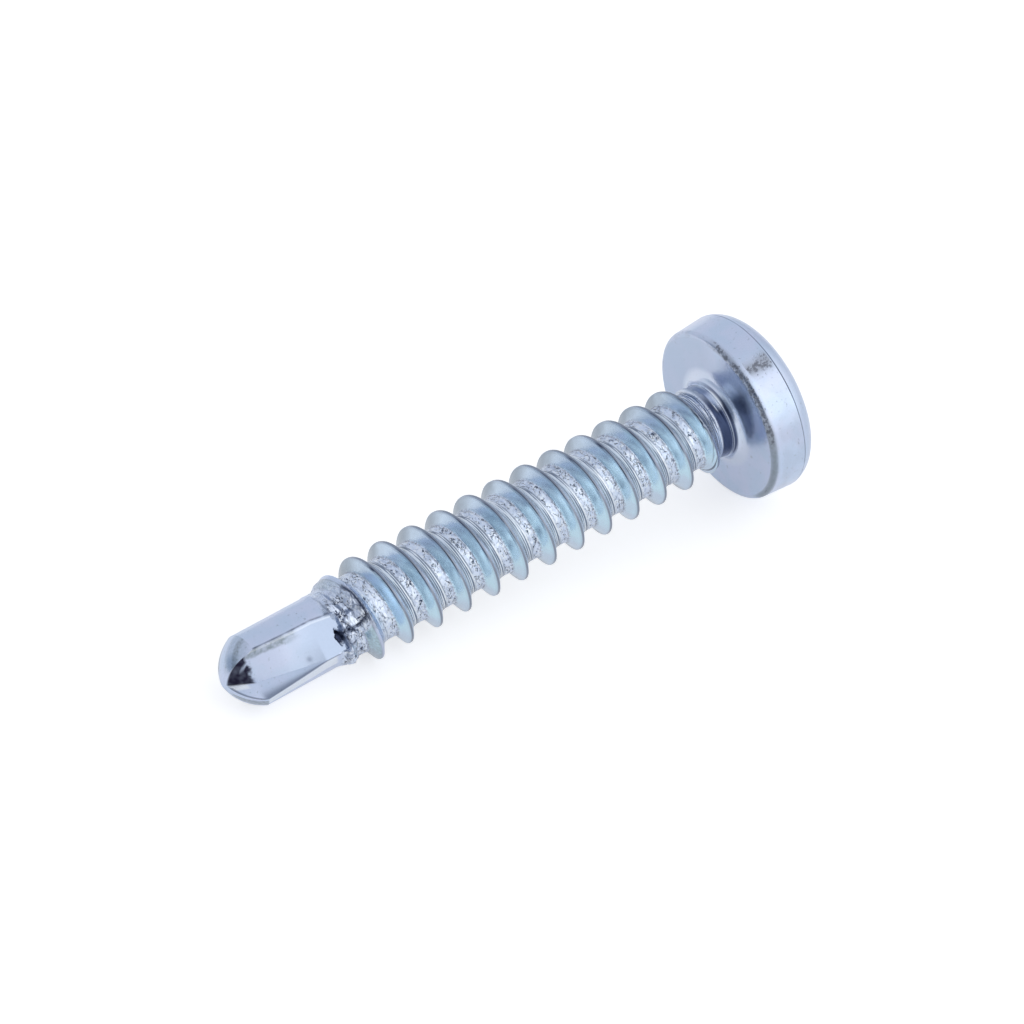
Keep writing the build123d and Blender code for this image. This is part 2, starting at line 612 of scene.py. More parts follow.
    def nose_height(self, place: np.ndarray) -> np.ndarray:
        """The height of the relieved end.

        Args:
            place: Places, as x and y.

        Returns:
            The height over each place.
        """
        heights = []
        upright = np.array([0.0, 0.0, 1.0])
        lean = radians(self.lip_relief)
        for half_turn in (0.0, pi):
            turn = radians(self.lip_turn) + half_turn
            lip = np.array([cos(turn), sin(turn), 0.0])
            axis = upright * cos(lean) + np.cross(lip, upright) * sin(lean)
            height = np.zeros(place.shape[:-1])
            for _ in range(self.nose_tries):
                point = raised(place, height)
                along = point @ axis
                out = np.sqrt(np.maximum((point**2).sum(-1) - along**2, 0.0))
                height = height + self.nose_pull * (self.profile(out) - along)
            heights.append(height)
        return np.maximum(*heights)

    def profile(self, out: np.ndarray) -> np.ndarray:
        """The end's convex profile.

        Args:
            out: Distances from its axis.

        Returns:
            The height at each distance.
        """
        chord = np.array([self.radius, self.point_height])
        length = np.linalg.norm(chord)
        normal = np.array([-chord[1], chord[0]]) / length
        centre = chord / 2 + normal * sqrt(self.arc_radius**2 - (length / 2) ** 2)
        inside = np.minimum(out, self.radius)
        curve = centre[1] - np.sqrt(self.arc_radius**2 - (inside - centre[0]) ** 2)
        slope = (self.radius - centre[0]) / (centre[1] - self.point_height)
        return curve + np.maximum(out - self.radius, 0.0) * slope

    def add_to(self, skin: Skin) -> np.ndarray:
        """Adds the drill point, from the tip up.

        Args:
            skin: The mesh that it is added to.

        Returns:
            The numbers of its top ring of points.
        """
        columns = skin.columns
        rim = np.full((1, columns), self.rim_guess)
        for _ in range(self.rim_tries):
            rim = 0.5 * rim + 0.5 * self.nose_height(self.section(rim, columns))
        share = (steps(self.nose_rows) ** self.nose_crowding)[:, None, None]
        place = self.section(rim, columns) * share
        nose_points = raised(place, self.nose_height(place))
        out = np.linalg.norm(place, axis=-1)
        nose = skin.add_points(nose_points, out, self.nose_masks(nose_points, columns))
        skin.bridge(nose[:1], nose[1:])
        skin.close(nose[0], 0.0, upward=False)
        height = between(rim, self.top, steps(self.rows)[:, None])
        points = raised(self.section(height, columns), height)
        masks = self.body_masks(points, columns)
        lip = self.lip_shades[2] * self.lip_line.at(self.shares(columns)[1])
        masks[Mask.FOLD][0] = np.maximum(masks[Mask.FOLD][0], lip)
        return skin.bridge(nose[-1], skin.add_points(points, height, masks))

    def shares(self, columns: int) -> tuple[np.ndarray, np.ndarray, np.ndarray]:
        """Where each column lies on the heel wall, on the rake wall and on the land.

        Args:
            columns: Columns in a turn.

        Returns:
            Three rows: from 0 at the heel edge to 1 at the flute's root, from 0 there to
            1 at the margin, and the columns past the margin; each is below 0 elsewhere.
        """
        number = (np.arange(columns) - self.first_heel) % (columns // 2)
        edge = self.heel_columns + self.rake_columns
        heel = np.where(number <= self.heel_columns, number / self.heel_columns, -1.0)
        rake = (number - self.heel_columns) / self.rake_columns
        rake = np.where((number >= self.heel_columns) & (number <= edge), rake, -1.0)
        return heel, rake, np.where(number >= edge, number - edge, -1.0)

    def nose_masks(self, points: np.ndarray, columns: int) -> Masks:
        """Masks of the end that cuts: painted shade in two strips across the first land, a dull
        band along the rim and the lip's dark edge.

        Args:
            points: Places in rows of columns.
            columns: Columns in a turn.

        Returns:
            The masks, in the same rows.
        """
        turn = np.degrees(np.arctan2(points[..., 1], points[..., 0]))
        out = np.linalg.norm(points[..., :2], axis=-1)
        half = (turn + 90.0) % 180.0 - 90.0
        first = np.where(np.abs(turn_gap(turn, self.first_land)) < 90.0, 1.0, -1.0)
        across, side = points[..., 0] * first, points[..., 1] * first
        # Painted shade in two strips across the first land's curved end.
        strip = self.wide_shade_strip.at(across) * self.wide_shade_side.at(side)
        narrow_shade = self.narrow_shade_strip.at(across) * self.narrow_shade_side.at(side)
        rim = self.dull_rim.at(half) * self.dull_rim_out.at(out)
        lip = np.zeros(points.shape[:-1])
        lip[-2:] = self.lip_line.at(self.shares(columns)[1])
        lip[-2:] *= np.reshape(self.lip_shades[:2], (2, 1))
        return {Mask.DULL: np.clip(strip + narrow_shade + rim, 0.0, 1.0), Mask.FOLD: lip}

    def body_masks(self, points: np.ndarray, columns: int) -> Masks:
        """Masks of the lands and the flutes, with painted highlights, painted shade towards the
        flutes' upper ends and a painted dark reflection in the notch.

        Args:
            points: Places in rows of columns.
            columns: Columns in a turn.

        Returns:
            The masks, in the same rows.
        """
        height = points[..., 2]
        out = np.linalg.norm(points[..., :2], axis=-1)
        heel, rake, land = (np.broadcast_to(s, height.shape) for s in self.shares(columns))
        wander = self.wander.at(points)
        fluted = self.fluted.at(height)
        from_heel = heel * self.heel_columns
        fold = self.heel_fold.at(from_heel) * fluted
        fold = fold * (self.heel_fold_shade[0] + self.heel_fold_shade[1] * wander)
        from_margin = (1.0 - rake) * self.rake_columns
        margin = self.margin_fold.at(from_margin) * self.margin_height.at(height)
        dent = self.dent_height.at(height) * self.dent_heel.at(heel)
        # Painted highlights: a line beside the heel edge, a band on the rake wall under the notch
        # and a strip on the land by the margin.
        glint = self.heel_glint.at(from_heel) * fluted
        lip_highlight = self.lip_highlight.at(rake) * self.lip_highlight_height.at(height)
        strip = self.land_highlight.at(land) * self.land_highlight_height.at(height)
        scuffed = self.scuff.at(heel + self.scuff_wander * wander) * self.scuff_height.at(height)
        scuffed = scuffed * (self.scuff_shade[0] + self.scuff_shade[1] * wander)
        # Painted dark reflection on the heel wall in the notch, left out along a streak and at the
        # outer corner.
        streak = self.streak.at(out - self.streak_slope * (height - self.streak_from))
        streak = streak * self.streak_height.at(height)
        corner = self.corner_out.at(out) * self.corner_height.at(height)
        ragged = height + self.notch_shade_wander * wander + self.fine.at(points)
        notch_shading = self.notch_shade_height.at(ragged) * (self.notch_shade_strength + self.patches.at(points))
        notch_shading = np.clip(np.where(heel >= 0.0, notch_shading, 0.0), 0.0, 1.0)
        # Painted shade towards the flute's upper end.
        in_flute = (heel > self.flute_heel) | ((rake > 0.0) & (rake < self.flute_rake))
        return {
            Mask.DEEP: in_flute * self.flute_shade_height.at(height),
            Mask.FOLD: np.clip(np.maximum.reduce([fold, margin, dent]), 0.0, 1.0),
            Mask.GLINT: np.clip(np.maximum.reduce([glint, lip_highlight, strip]), 0.0, 1.0),
            Mask.DULL: np.clip(scuffed, 0.0, 1.0),
            Mask.SOOT: notch_shading * (1.0 - self.notch_shade_gaps * np.maximum(streak, corner)),
        }


@dataclass
class Shank:
    """The rod between point and head, with the ridge that is rolled up out of it."""

    drill: DrillPoint
    radius: float = 2.095
    root_radius: float = 1.55
    neck_radius: float = 1.63
    pitch: float = 1.4
    crest_offset: float = 0.353
    crest_half: float = 0.05
    flank_slope: float = 1.7320508
    ridge_from: tuple[float, float] = (4.6, 1.52)
    ridge_lifted: tuple[float, float] = (5.65, 1.84)
    full_from: float = 6.4
    full_to: float = 22.6
    end: float = 23.95
    neck_from: float = 23.5
    flare_start: float = 24.02
    spare: float = 0.1
    ridge_in: Rise = Rise(4.4, 4.85)
    root_fillet: float = 0.06
    lined_fillet: Band = Band(0.15, 0.50, 0.12, 0.10)
    crest_round: float = 0.012
    end_round: float = 0.05
    whole: Rise = Rise(6.3, 7.3)
    crest_whole: Rise = Rise(6.3, 7.3, 0.3, 1.0)
    crest_line: Rise = Rise(0.03, 0.065, 1.0, 0.0)
    dull_flank: Band = Band(-0.345, -0.06, 0.03, 0.6)
    edge_line: Band = Band(-0.085, -0.045, 0.03)
    edge_turn: Band = Band(-36.0, 10.0, 16.0, 0.75)
    edge_least: float = 0.25
    lined: Band = Band(0.16, 0.62, 0.06)
    lined_root: Band = Band(0.06, 0.60, 0.07)
    flank: Band = Band(-0.345, -0.07, 0.03)
    root_from: Rise = Rise(0.335, 0.37)
    # Painted shade where the root meets the flank that faces the tip.
    root_corner_shade: Band = Band(-0.40, -0.355, 0.025, 0.45)
    lap_plates: Plates = Plates(3.4, 0.0, 1.9, 0.25, 0.5, 3)
    lap_waves: Waves = Waves(4.0, 3, 0.0, 0.7, 1.7)
    least_lap: float = 1e-4

    def from_crest(self, turn: np.ndarray, height: np.ndarray) -> np.ndarray:
        """Signed distance along the axis from the nearest crest."""
        offset = (height - self.crest_offset) / self.pitch - turn / 360.0
        return (offset - np.round(offset)) * self.pitch

    def body(self, turn: np.ndarray, height: np.ndarray) -> np.ndarray:
        """Radius of the shank with its ridge.

        Args:
            turn: Angles in degrees.
            height: Heights over the tip.

        Returns:
            The radius at each.
        """
        offset = self.from_crest(turn, height)
        ridge = self.radius + (self.crest_half - np.abs(offset)) * self.flank_slope
        ridge = soft_min(ridge, self.radius, self.crest_round)
        core = np.interp(
            height,
            (0.0, self.drill.flute_end, self.full_from, self.neck_from, self.flare_start),
            (self.drill.radius, self.drill.radius, self.root_radius, self.root_radius,
             self.neck_radius),
        )
        highest = self.radius + self.spare
        envelope = np.interp(
            height,
            (self.ridge_from[0], self.ridge_lifted[0], self.full_from, self.full_to, self.end),
            (self.ridge_from[1], self.ridge_lifted[1], highest, highest, self.root_radius),
        )
        ridge = soft_min(ridge, envelope, self.end_round)
        body = soft_max(ridge, core, self.root_fillet + self.lined_fillet.at(offset))
        return between(core, body, self.ridge_in.at(height))

    def masks_at(self, turn: np.ndarray, height: np.ndarray) -> Masks:
        """Masks of the thread's root, flanks and crest.

        Args:
            turn: Angles in degrees.
            height: Heights over the tip.

        Returns:
            The masks at each.
        """
        offset = self.from_crest(turn, height)
        away = np.abs(offset)
        whole = self.whole.at(height)
        edge = self.edge_least + self.edge_turn.at(turn_gap(turn, 0.0))
        return {
            Mask.CREST: self.crest_line.at(away) * self.crest_whole.at(height),
            Mask.DULL: self.dull_flank.at(offset) * (1.0 - whole),
            Mask.EDGE: self.edge_line.at(offset) * edge,
            Mask.LINED: self.lined.at(offset) * whole,
            Mask.FLANK: self.flank.at(offset),
            Mask.ROOT: self.root_from.at(away) * (1.0 - whole * self.lined_root.at(offset)),
            # Painted shade where the root meets the flank that faces the tip.
            Mask.CRACK: self.root_corner_shade.at(offset),
        }

    def lay(self, turn: np.ndarray, height: np.ndarray) -> np.ndarray:
        """Distance along the axis from the middle of the root, for lines round it."""
        return (self.from_crest(turn, height) + self.pitch) % self.pitch - self.pitch / 2

    def roughened(self, points: np.ndarray, amount: np.ndarray) -> np.ndarray:
        """Moves points of the root in and out, as rolled laps and pits do.

        Args:
            points: Places on the shank.
            amount: The height of the laps at each place.

        Returns:
            The moved points.
        """
        flat = points.reshape(-1, 3).copy()
        rough = amount.ravel() > self.least_lap
        chosen = flat[rough]
        lift = self.lap_waves.at(chosen) + self.lap_plates.at(chosen)[0]
        radius = np.linalg.norm(chosen[:, :2], axis=1)
        flat[rough, :2] *= (1.0 + lift * amount.ravel()[rough] / radius)[:, None]
        return flat.reshape(points.shape)


@dataclass(frozen=True)
class TornPlate:
    """A plate of metal that the rolling tore loose.

    Attributes:
        corners: Its corners, each as height and turn.
        lift: How far it stands out.
        arc: Millimetres round the shank in a degree.
    """

    corners: tuple[tuple[float, float], ...]
    lift: float
    arc: float = radians(1.0) * 1.65

    def inside(self, turn: np.ndarray, height: np.ndarray) -> np.ndarray:
        """How far places are inside the plate's edge.

        Args:
            turn: Angles in degrees.
            height: Heights over the tip.

        Returns:
            The distance at each place, below 0 outside the edge.
        """
        place = np.stack(np.broadcast_arrays(height, turn_gap(turn, 0.0) * self.arc), -1)
        corners = np.array(self.corners) * (1.0, self.arc)
        middle = corners.mean(axis=0)
        depth = np.full(turn.shape, np.inf)
        for start, end in zip(corners, np.roll(corners, -1, 0)):
            way = (end - start) / np.linalg.norm(end - start)
            normal = np.array([-way[1], way[0]])
            if np.dot(middle - start, normal) < 0.0:
                normal = -normal
            depth = np.minimum(depth, (place - start) @ normal)
        return depth


@dataclass
class TornStart:
    """The torn metal where the thread starts over the flutes' ends.

    The crack's line is given by places as height and turn.  The torn limit gives, for
    some turns, how high over the first crest the torn metal ends.
    """

    shank: Shank
    rows: int = 88
    first_crest: float = 5.953
    plates: tuple[TornPlate, ...] = (
        TornPlate(
            ((5.15, -60.0), (5.55, -46.0), (5.84, -22.0), (5.62, -10.0), (5.33, -10.0),
             (5.18, -27.0)), 0.10,
        ),
        TornPlate(
            ((5.74, -9.0), (5.94, -3.0), (5.92, 6.0), (5.68, 13.0), (5.30, 15.0), (5.08, 0.0)),
            0.13,
        ),
        TornPlate(((4.70, -54.0), (5.08, -56.0), (5.12, -34.0), (4.76, -30.0)), 0.05),
        TornPlate(
            ((4.78, -27.0), (5.12, -29.0), (5.24, -10.0), (5.00, -5.0), (4.86, -11.0)), 0.07,
        ),
        TornPlate(((4.98, 24.0), (5.16, 18.0), (5.50, 24.0), (5.46, 35.0), (5.08, 38.0)), 0.10),
        TornPlate(((4.92, 40.0), (5.34, 38.0), (5.30, 51.0), (4.84, 52.0)), 0.08),
        TornPlate(((4.74, 55.0), (5.22, 54.0), (5.36, 76.0), (4.90, 74.0)), 0.13),
    )
    pit: TornPlate = TornPlate(
        ((4.62, 22.0), (4.72, 8.0), (4.92, 17.0), (4.94, 34.0), (4.74, 38.0)), -0.16
    )
    crack_line: tuple[tuple[float, float], ...] = (
        (5.80, -40.0), (5.93, -24.0), (5.98, -6.0), (5.95, 7.0), (5.68, 16.0),
        (5.34, 18.0), (5.12, 16.0), (4.92, 17.0), (4.76, 14.0),
    )
    crack_arc: float = radians(1.0) * 1.75
    crack_depth: float = 0.09
    crack_width: float = 0.075
    crack_least: float = 0.025
    crack_waves: Waves = Waves(4.5, 2, 41.0, 0.085)
    flute_edge: Rise = Rise(-0.07, 0.03, 1.0, 0.0)
    flute_waves: Waves = Waves(1.7, 3, 11.0, 0.10)
    land_gap: float = 0.004
    flute_turn: float = 22.0
    near_flute: Rise = Rise(45.0, 78.0, 1.0, 0.2)
    torn_limit: tuple[tuple[float, float], tuple[float, float]] = ((20.0, 34.0), (-0.06, -0.40))
    torn_edge: Rise = Rise(-0.05, 0.05, 1.0, 0.0)
    torn_from: Rise = Rise(4.55, 4.75)
    swell: Waves = Waves(1.8, 3, 3.0, 0.05)
    lumps: Plates = Plates(2.3, 5.0, 1.3, 0.045, 0.05, 2)
    lump_shade: float = 0.75
    splits: Plates = Plates(5.0, 9.0, 1.0, 0.012, 0.012, 2)
    split_shade: float = 0.6
    plates_turn: Band = Band(-58.0, 76.0, 8.0)
    plates_height: Band = Band(4.7, 6.05, 0.1)
    plate_waves: Waves = Waves(3.5, 2, 17.0, 0.025)
    plate_rise: Rise = Rise(-0.035, 0.03)
    plate_rim: Spot = Spot(-0.025, 0.032, 0.8)
    rim_shade: float = 0.65
    rim_patches: Waves = Waves(2.1, 2, 29.0, 0.8)
    pit_rise: Rise = Rise(-0.03, 0.04)
    pit_waves: Waves = Waves(4.0, 2, 13.0, 0.03)
    torn_weight: float = 1.6
    marks_from: Rise = Rise(4.9, 5.4)
    crushed_turn: Band = Band(4.0, 25.0, 5.0, 0.7)
    crushed_rise: Band = Band(-0.05, 0.16, 0.04)
    drill_fade: Rise = Rise(4.7, 4.95, 1.0, 0.0)
    crest_turn: Rise = Rise(20.0, 60.0, 0.35, 1.0)

    def add_to(self, skin: Skin, ring: np.ndarray) -> np.ndarray:
        """Adds the torn metal.

        Args:
            skin: The mesh that it is added to.
            ring: Numbers of the drill's top ring.

        Returns:
            The numbers of the top ring, which is even all round.
        """
        shank, drill, columns = self.shank, self.shank.drill, skin.columns
        height = rings(between(drill.top, shank.full_from, steps(self.rows)), columns)
        section = drill.section(np.minimum(height, drill.flute_end), columns)
        keyed = np.degrees(np.arctan2(section[..., 1], section[..., 0]))
        blend = smooth_step(drill.flute_end, shank.full_from, height)
        turn = keyed + turn_gap(even_turns(columns) - keyed, 0.0) * blend
        smooth = shank.body(turn, height)
        base = round_the_axis(smooth, turn, height)
        drilled = np.linalg.norm(section, axis=-1)
        opened = self.flute_edge.at(height - drill.flute_end - self.flute_waves.at(base))
        opened = opened * (drilled < drill.radius - self.land_gap)
        torn = self.torn_share(turn, height) * (1.0 - opened)
        hole = self.pit_rise.at(self.pit.inside(turn, height) + self.pit_waves.at(base))
        gash = self.gash(turn, height)
        relief, crack = self.relief(base, turn, height, torn)
        radius = between(smooth, drilled, opened) + relief
        radius = radius - self.crack_depth * gash + self.pit.lift * hole
        points = round_the_axis(radius, turn, height)
        gap, rise = self.from_first_crest(turn, height)
        whole = (1.0 - np.minimum(1.0, torn * self.torn_weight)) * self.marks_from.at(height)
        masks = {mask: value * whole for mask, value in shank.masks_at(turn, height).items()}
        crack = np.clip(np.maximum.reduce([crack, gash, hole]), 0.0, 1.0)
        masks[Mask.CRACK] = np.maximum(crack, masks[Mask.CRACK])
        masks[Mask.CREST] = masks[Mask.CREST] * self.crest_turn.at(gap)
        masks[Mask.TORN] = np.maximum.reduce([torn, hole, gash])
        masks[Mask.WORN] = self.crushed_turn.at(gap) * self.crushed_rise.at(rise)
        drilled_masks = drill.body_masks(points, columns)
        # The drill's painted shade where the flute opens, and its painted highlights and dark lines
        # fading out.
        masks[Mask.DEEP] = drilled_masks[Mask.DEEP] * opened
        for mask in (Mask.FOLD, Mask.GLINT):
            masks[mask] = drilled_masks[mask] * self.drill_fade.at(height)
        return skin.bridge(ring, skin.add_points(points, shank.lay(turn, height), masks))

    def relief(
        self, base: np.ndarray, turn: np.ndarray, height: np.ndarray, torn: np.ndarray
    ) -> tuple[np.ndarray, np.ndarray]:
        """How the torn metal stands out, and the cracks in it.

        Args:
            base: The places before they are moved.
            turn: Angles in degrees.
            height: Heights over the tip.
            torn: How torn the metal is at each place.

        Returns:
            The distance by which each place moves out, and how dark its crack is.
        """
        loose = 1.0 - self.plates_turn.at(turn_gap(turn, 0.0)) * self.plates_height.at(height)
        lumps, lump_cracks = self.lumps.at(base)
        splits, split_cracks = self.splits.at(base)
        relief = torn * (self.swell.at(base) + loose * lumps + splits)
        lump_cracks = self.lump_shade * loose * lump_cracks**3
        crack = torn * np.maximum(lump_cracks, self.split_shade * split_cracks**3)
        edge = self.plate_waves.at(base)
        shade = self.rim_shade + self.rim_patches.at(base)
        for plate in self.plates:
            depth = plate.inside(turn, height) + edge
            relief = relief + plate.lift * self.plate_rise.at(depth)
            crack = np.maximum(crack, self.plate_rim.at(depth) * shade)
        return relief, crack

    def from_first_crest(
        self, turn: np.ndarray, height: np.ndarray
    ) -> tuple[np.ndarray, np.ndarray]:
        """Angle from where the first crest is whole, and height over that crest."""
        gap = turn_gap(turn, 0.0)
        return gap, height - self.first_crest - self.shank.pitch * gap / 360.0

    def torn_share(self, turn: np.ndarray, height: np.ndarray) -> np.ndarray:
        """How torn the metal is: most by the flutes' ends, and none on whole flanks.

        Args:
            turn: Angles in degrees.
            height: Heights over the tip.

        Returns:
            0 to 1 at each place.
        """
        gap, rise = self.from_first_crest(turn, height)
        to_flute = np.abs(turn_gap(2.0 * (turn - self.flute_turn), 0.0)) / 2.0
        share = self.torn_edge.at(rise - np.interp(gap, *self.torn_limit))
        return self.near_flute.at(to_flute) * share * self.torn_from.at(height)

    def gash(self, turn: np.ndarray, height: np.ndarray) -> np.ndarray:
        """The deep crack from under the first crest down to the flute's end.

        Args:
            turn: Angles in degrees.
            height: Heights over the tip.

        Returns:
            How far each place is in the crack, 0 to 1.
        """
        place = np.stack([height, turn_gap(turn, 0.0) * self.crack_arc], -1)
        line = np.array(self.crack_line) * (1.0, self.crack_arc)
        nearest = np.full(height.shape, np.inf)
        for start, end in zip(line[:-1], line[1:]):
            way = end - start
            share = np.clip(((place - start) @ way) / (way @ way), 0.0, 1.0)[..., None]
            nearest = np.minimum(nearest, np.linalg.norm(place - start - share * way, axis=-1))
        width = self.crack_width + self.crack_waves.at(raised(place, height))
        return np.exp(-((nearest / np.maximum(width, self.crack_least)) ** 2))


@dataclass
class RolledThread:
    """The whole turns of the thread, in rows of points that follow the helix."""

    shank: Shank
    half_pitch_rows: tuple[float, ...] = (
        0.03, 0.052, 0.075, 0.12, 0.18, 0.24, 0.30, 0.345, 0.385, 0.45, 0.53, 0.615,
    )
    snap: float = 0.012
    lap_height: float = 0.022
    crest_waves: Waves = Waves(0.9, 2, 4.0, 0.012)

    def add_to(self, skin: Skin, ring: np.ndarray) -> np.ndarray:
        """Adds the whole turns.

        Args:
            skin: The mesh that they are added to.
            ring: Numbers of the ring below the first whole turn.

        Returns:
            The numbers of the ring above the last one.
        """
        shank, pitch, columns = self.shank, self.shank.pitch, skin.columns
        away = np.array(self.half_pitch_rows)
        offsets = np.concatenate([[0.0], away, [pitch / 2], pitch - away[::-1]])
        rows = len(offsets)
        first = int((shank.full_from - shank.crest_offset) / pitch) - 1
        turns = int((shank.full_to - shank.full_from) / pitch) + 4
        starts = shank.crest_offset + (first + np.arange(turns))[:, None] * pitch
        share = np.arange(columns) / columns
        height = (starts + offsets).reshape(-1, 1) + pitch * share
        turn = np.broadcast_to(360.0 * share, height.shape)
        below = height < shank.full_from + self.snap
        above = height > shank.full_to - self.snap
        radius = shank.body(turn, height)
        masks = shank.masks_at(turn, height)
        laps = np.where(below | above, 0.0, self.lap_height * masks[Mask.ROOT])
        points = shank.roughened(round_the_axis(radius, turn, height), laps)
        wave = self.crest_waves.at(points) * masks[Mask.CREST]
        points[..., :2] *= (1.0 + wave / radius)[..., None]
        numbers = skin.add_points(points, shank.lay(turn, height), masks)
        place = turn[:1], np.full((1, columns), shank.full_to)
        top_points = round_the_axis(shank.body(*place), *place)
        top = skin.add_points(top_points, shank.lay(*place), shank.masks_at(*place))[0]
        numbers = np.where(below, ring, np.where(above, top, numbers))
        wrapped = np.concatenate([numbers[:, 1:], np.roll(numbers[:, :1], -rows, 0)], 1)
        skin.add_quads(
            numbers[: -rows - 1], wrapped[: -rows - 1], wrapped[1:-rows], numbers[1:-rows]
        )
        return top


@dataclass
class PanHead:
    """The forged head: bearing face, rounded edge, side, forging line, dome and recess."""

    bearing: float = 24.42
    flare_radius: float = 2.1
    flat_radius: float = 3.625
    edge_radius: float = 3.9
    edge_height: float = 0.24
    edge_end_wear: float = 0.25
    radius: float = 4.0
    side_height: float = 1.55
    fold: tuple[tuple[float, float], tuple[float, float]] = ((0.001, 0.022), (0.018, 0.0))
    fold_lean: float = 1.3
    shoulder_radius: float = 1.0
    shoulder_lean: float = 80.0
    dome_radius: float = 11.0
    recess_across: float = 4.4
    wing_width: float = 1.05
    floor_across: float = 1.7
    floor_width: float = 0.85
    recess_depth: float = 1.95
    core_diameter: float = 2.1
    core_point: float = 0.35
    face_rows: int = 6
    edge_rows: int = 10
    side_rows: int = 14
    shoulder_rows: int = 12
    dome_rows: int = 9
    recess_rows: int = 8
    floor_rows: int = 4
    end_steps: int = 5
    side_steps: int = 9
    rim_tries: int = 12
    rim_guess: float = 0.2
    dome_lay: float = 3.0
    uneven: Waves = Waves(0.8, 2, 21.0, 0.006)
    uneven_from: float = 0.3
    wander: Waves = Waves(1.1, 3, 61.0)
    rubbed_turn: Band = Band(-34.0, 26.0, 24.0)
    rubbed_patches: Rise = Rise(0.05, 0.3, 0.0, 0.4)
    rubbed_least: float = 0.22
    scuff_turn: float = -15.5
    scuff_wander: float = 2.5
    scuff: Spot = Spot(0.0, 4.4, 1.5)
    scuff_height: Band = Band(24.84, 25.86, 0.08)
    far_scuff_turn: float = 171.0
    far_scuff: Spot = Spot(0.0, 3.0, 0.6)
    far_scuff_height: Band = Band(25.0, 25.6, 0.1)
    specks_turn: Band = Band(-12.0, 75.0, 12.0, 0.17)
    specks_height: Band = Band(24.95, 25.95, 0.1)
    specks_patches: Rise = Rise(-0.3, 0.2)
    bluish_turn: Band = Band(24.0, 88.0, 12.0)
    bluish_navy: float = 0.45
    # Painted shade on the bearing face at turns below -30 degrees, and on the shoulder over the
    # side.
    face_shade: Rise = Rise(-60.0, -30.0, 0.5, 0.0)
    face_shade_height: float = 0.01
    shoulder_shade: Rise = Rise(0.05, 0.2, 0.0, 0.35)
    fold_patches: Rise = Rise(-0.3, 0.3, 0.55, 1.05)

    def __post_init__(self) -> None:
        """Works out the centres of the shoulder and the dome."""
        lean = radians(self.shoulder_lean)
        self.side_top = self.bearing + self.side_height
        self.shoulder = (
            self.radius - self.shoulder_radius * sin(lean),
            self.side_top - self.shoulder_radius * cos(lean),
        )
        reach = self.dome_radius - self.shoulder_radius
        self.dome_centre = self.shoulder[1] - sqrt(reach**2 - self.shoulder[0] ** 2)
        self.dome_lean = degrees(atan2(self.shoulder[0], self.shoulder[1] - self.dome_centre))
        self.top = self.dome_centre + self.dome_radius

    def profile(self) -> np.ndarray:
        """The profile from the bearing face to the dome.

        Returns:
            Rows of radius, height, wear, fold line and distance along the profile.
        """
        rows = [
            (between(self.flare_radius, self.flat_radius, share), self.bearing, 0.0, 0.0)
            for share in steps(self.face_rows)
        ]
        for share in steps(self.edge_rows):
            angle = radians(90.0 * share)
            wear = sin(angle * 2.0) ** 0.5 if share < 1.0 else self.edge_end_wear
            radius = between(self.flat_radius, self.edge_radius, sin(angle))
            rows.append((radius, self.bearing + self.edge_height * (1.0 - cos(angle)), wear, 0.0))
        low = self.bearing + self.edge_height
        for share in steps(self.side_rows + 1)[:-1]:
            radius = between(self.edge_radius, self.radius, share)
            rows.append((radius, between(low, self.side_top, share), 0.0, 0.0))
        for line, (inward, down) in enumerate(self.fold):
            rows.append((self.radius - inward, self.side_top - down, 0.0, float(line)))
        for share in (0.0, *steps(self.shoulder_rows)):
            lean = radians(between(self.shoulder_lean - self.fold_lean, self.dome_lean, share))
            rows.append((
                self.shoulder[0] + self.shoulder_radius * sin(lean),
                self.shoulder[1] + self.shoulder_radius * cos(lean), 0.0, 0.0,
            ))
        table = np.array(rows)
        lengths = np.linalg.norm(np.diff(table[:, :2], axis=0), axis=1)
        return np.column_stack([table, np.concatenate([[0.0], np.cumsum(lengths)])])

    def recess_place(self, depth: np.ndarray, columns: int) -> np.ndarray:
        """The recess's outline, for each column at its own depth.

        Args:
            depth: Depths, in rows of columns.
            columns: Columns in a turn.

        Returns:
            x and y of each column.
        """
        share = np.clip(depth / self.recess_depth, 0.0, 1.0)
        half_length = between(self.recess_across, self.floor_across, share) / 2
        half_width = between(self.wing_width, self.floor_width, share) / 2
        core = between(self.core_diameter, self.floor_across, share) / 2
        eighth = columns // 8
        quarter, within = np.divmod(np.arange(columns), 2 * eighth)
        mirrored = within > eighth
        step = np.broadcast_to(np.where(mirrored, 2 * eighth - within, within), depth.shape)
        core_from = self.end_steps + self.side_steps
        side_share = np.clip((step - self.end_steps) / self.side_steps, 0.0, 1.0)
        core_share = np.clip((step - core_from) / (eighth - core_from), 0.0, 1.0)
        meet = np.arcsin(np.clip(half_width / core, 0.0, 1.0))
        angle = between(meet, pi / 4, core_share)
        x = between(half_length, core * np.cos(meet), side_share)
        y = half_width * np.clip(step / self.end_steps, 0.0, 1.0)
        on_core = step > core_from
        x = np.where(on_core, core * np.cos(angle), x)
        y = np.where(on_core, core * np.sin(angle), y)
        x, y = np.where(mirrored, y, x), np.where(mirrored, x, y)
        turn = quarter * pi / 2
        return np.stack(
            [x * np.cos(turn) - y * np.sin(turn), x * np.sin(turn) + y * np.cos(turn)], -1
        )

    def dome_height(self, radius: np.ndarray) -> np.ndarray:
        """Height of the dome at a radius."""
        return self.dome_centre + np.sqrt(self.dome_radius**2 - radius**2)

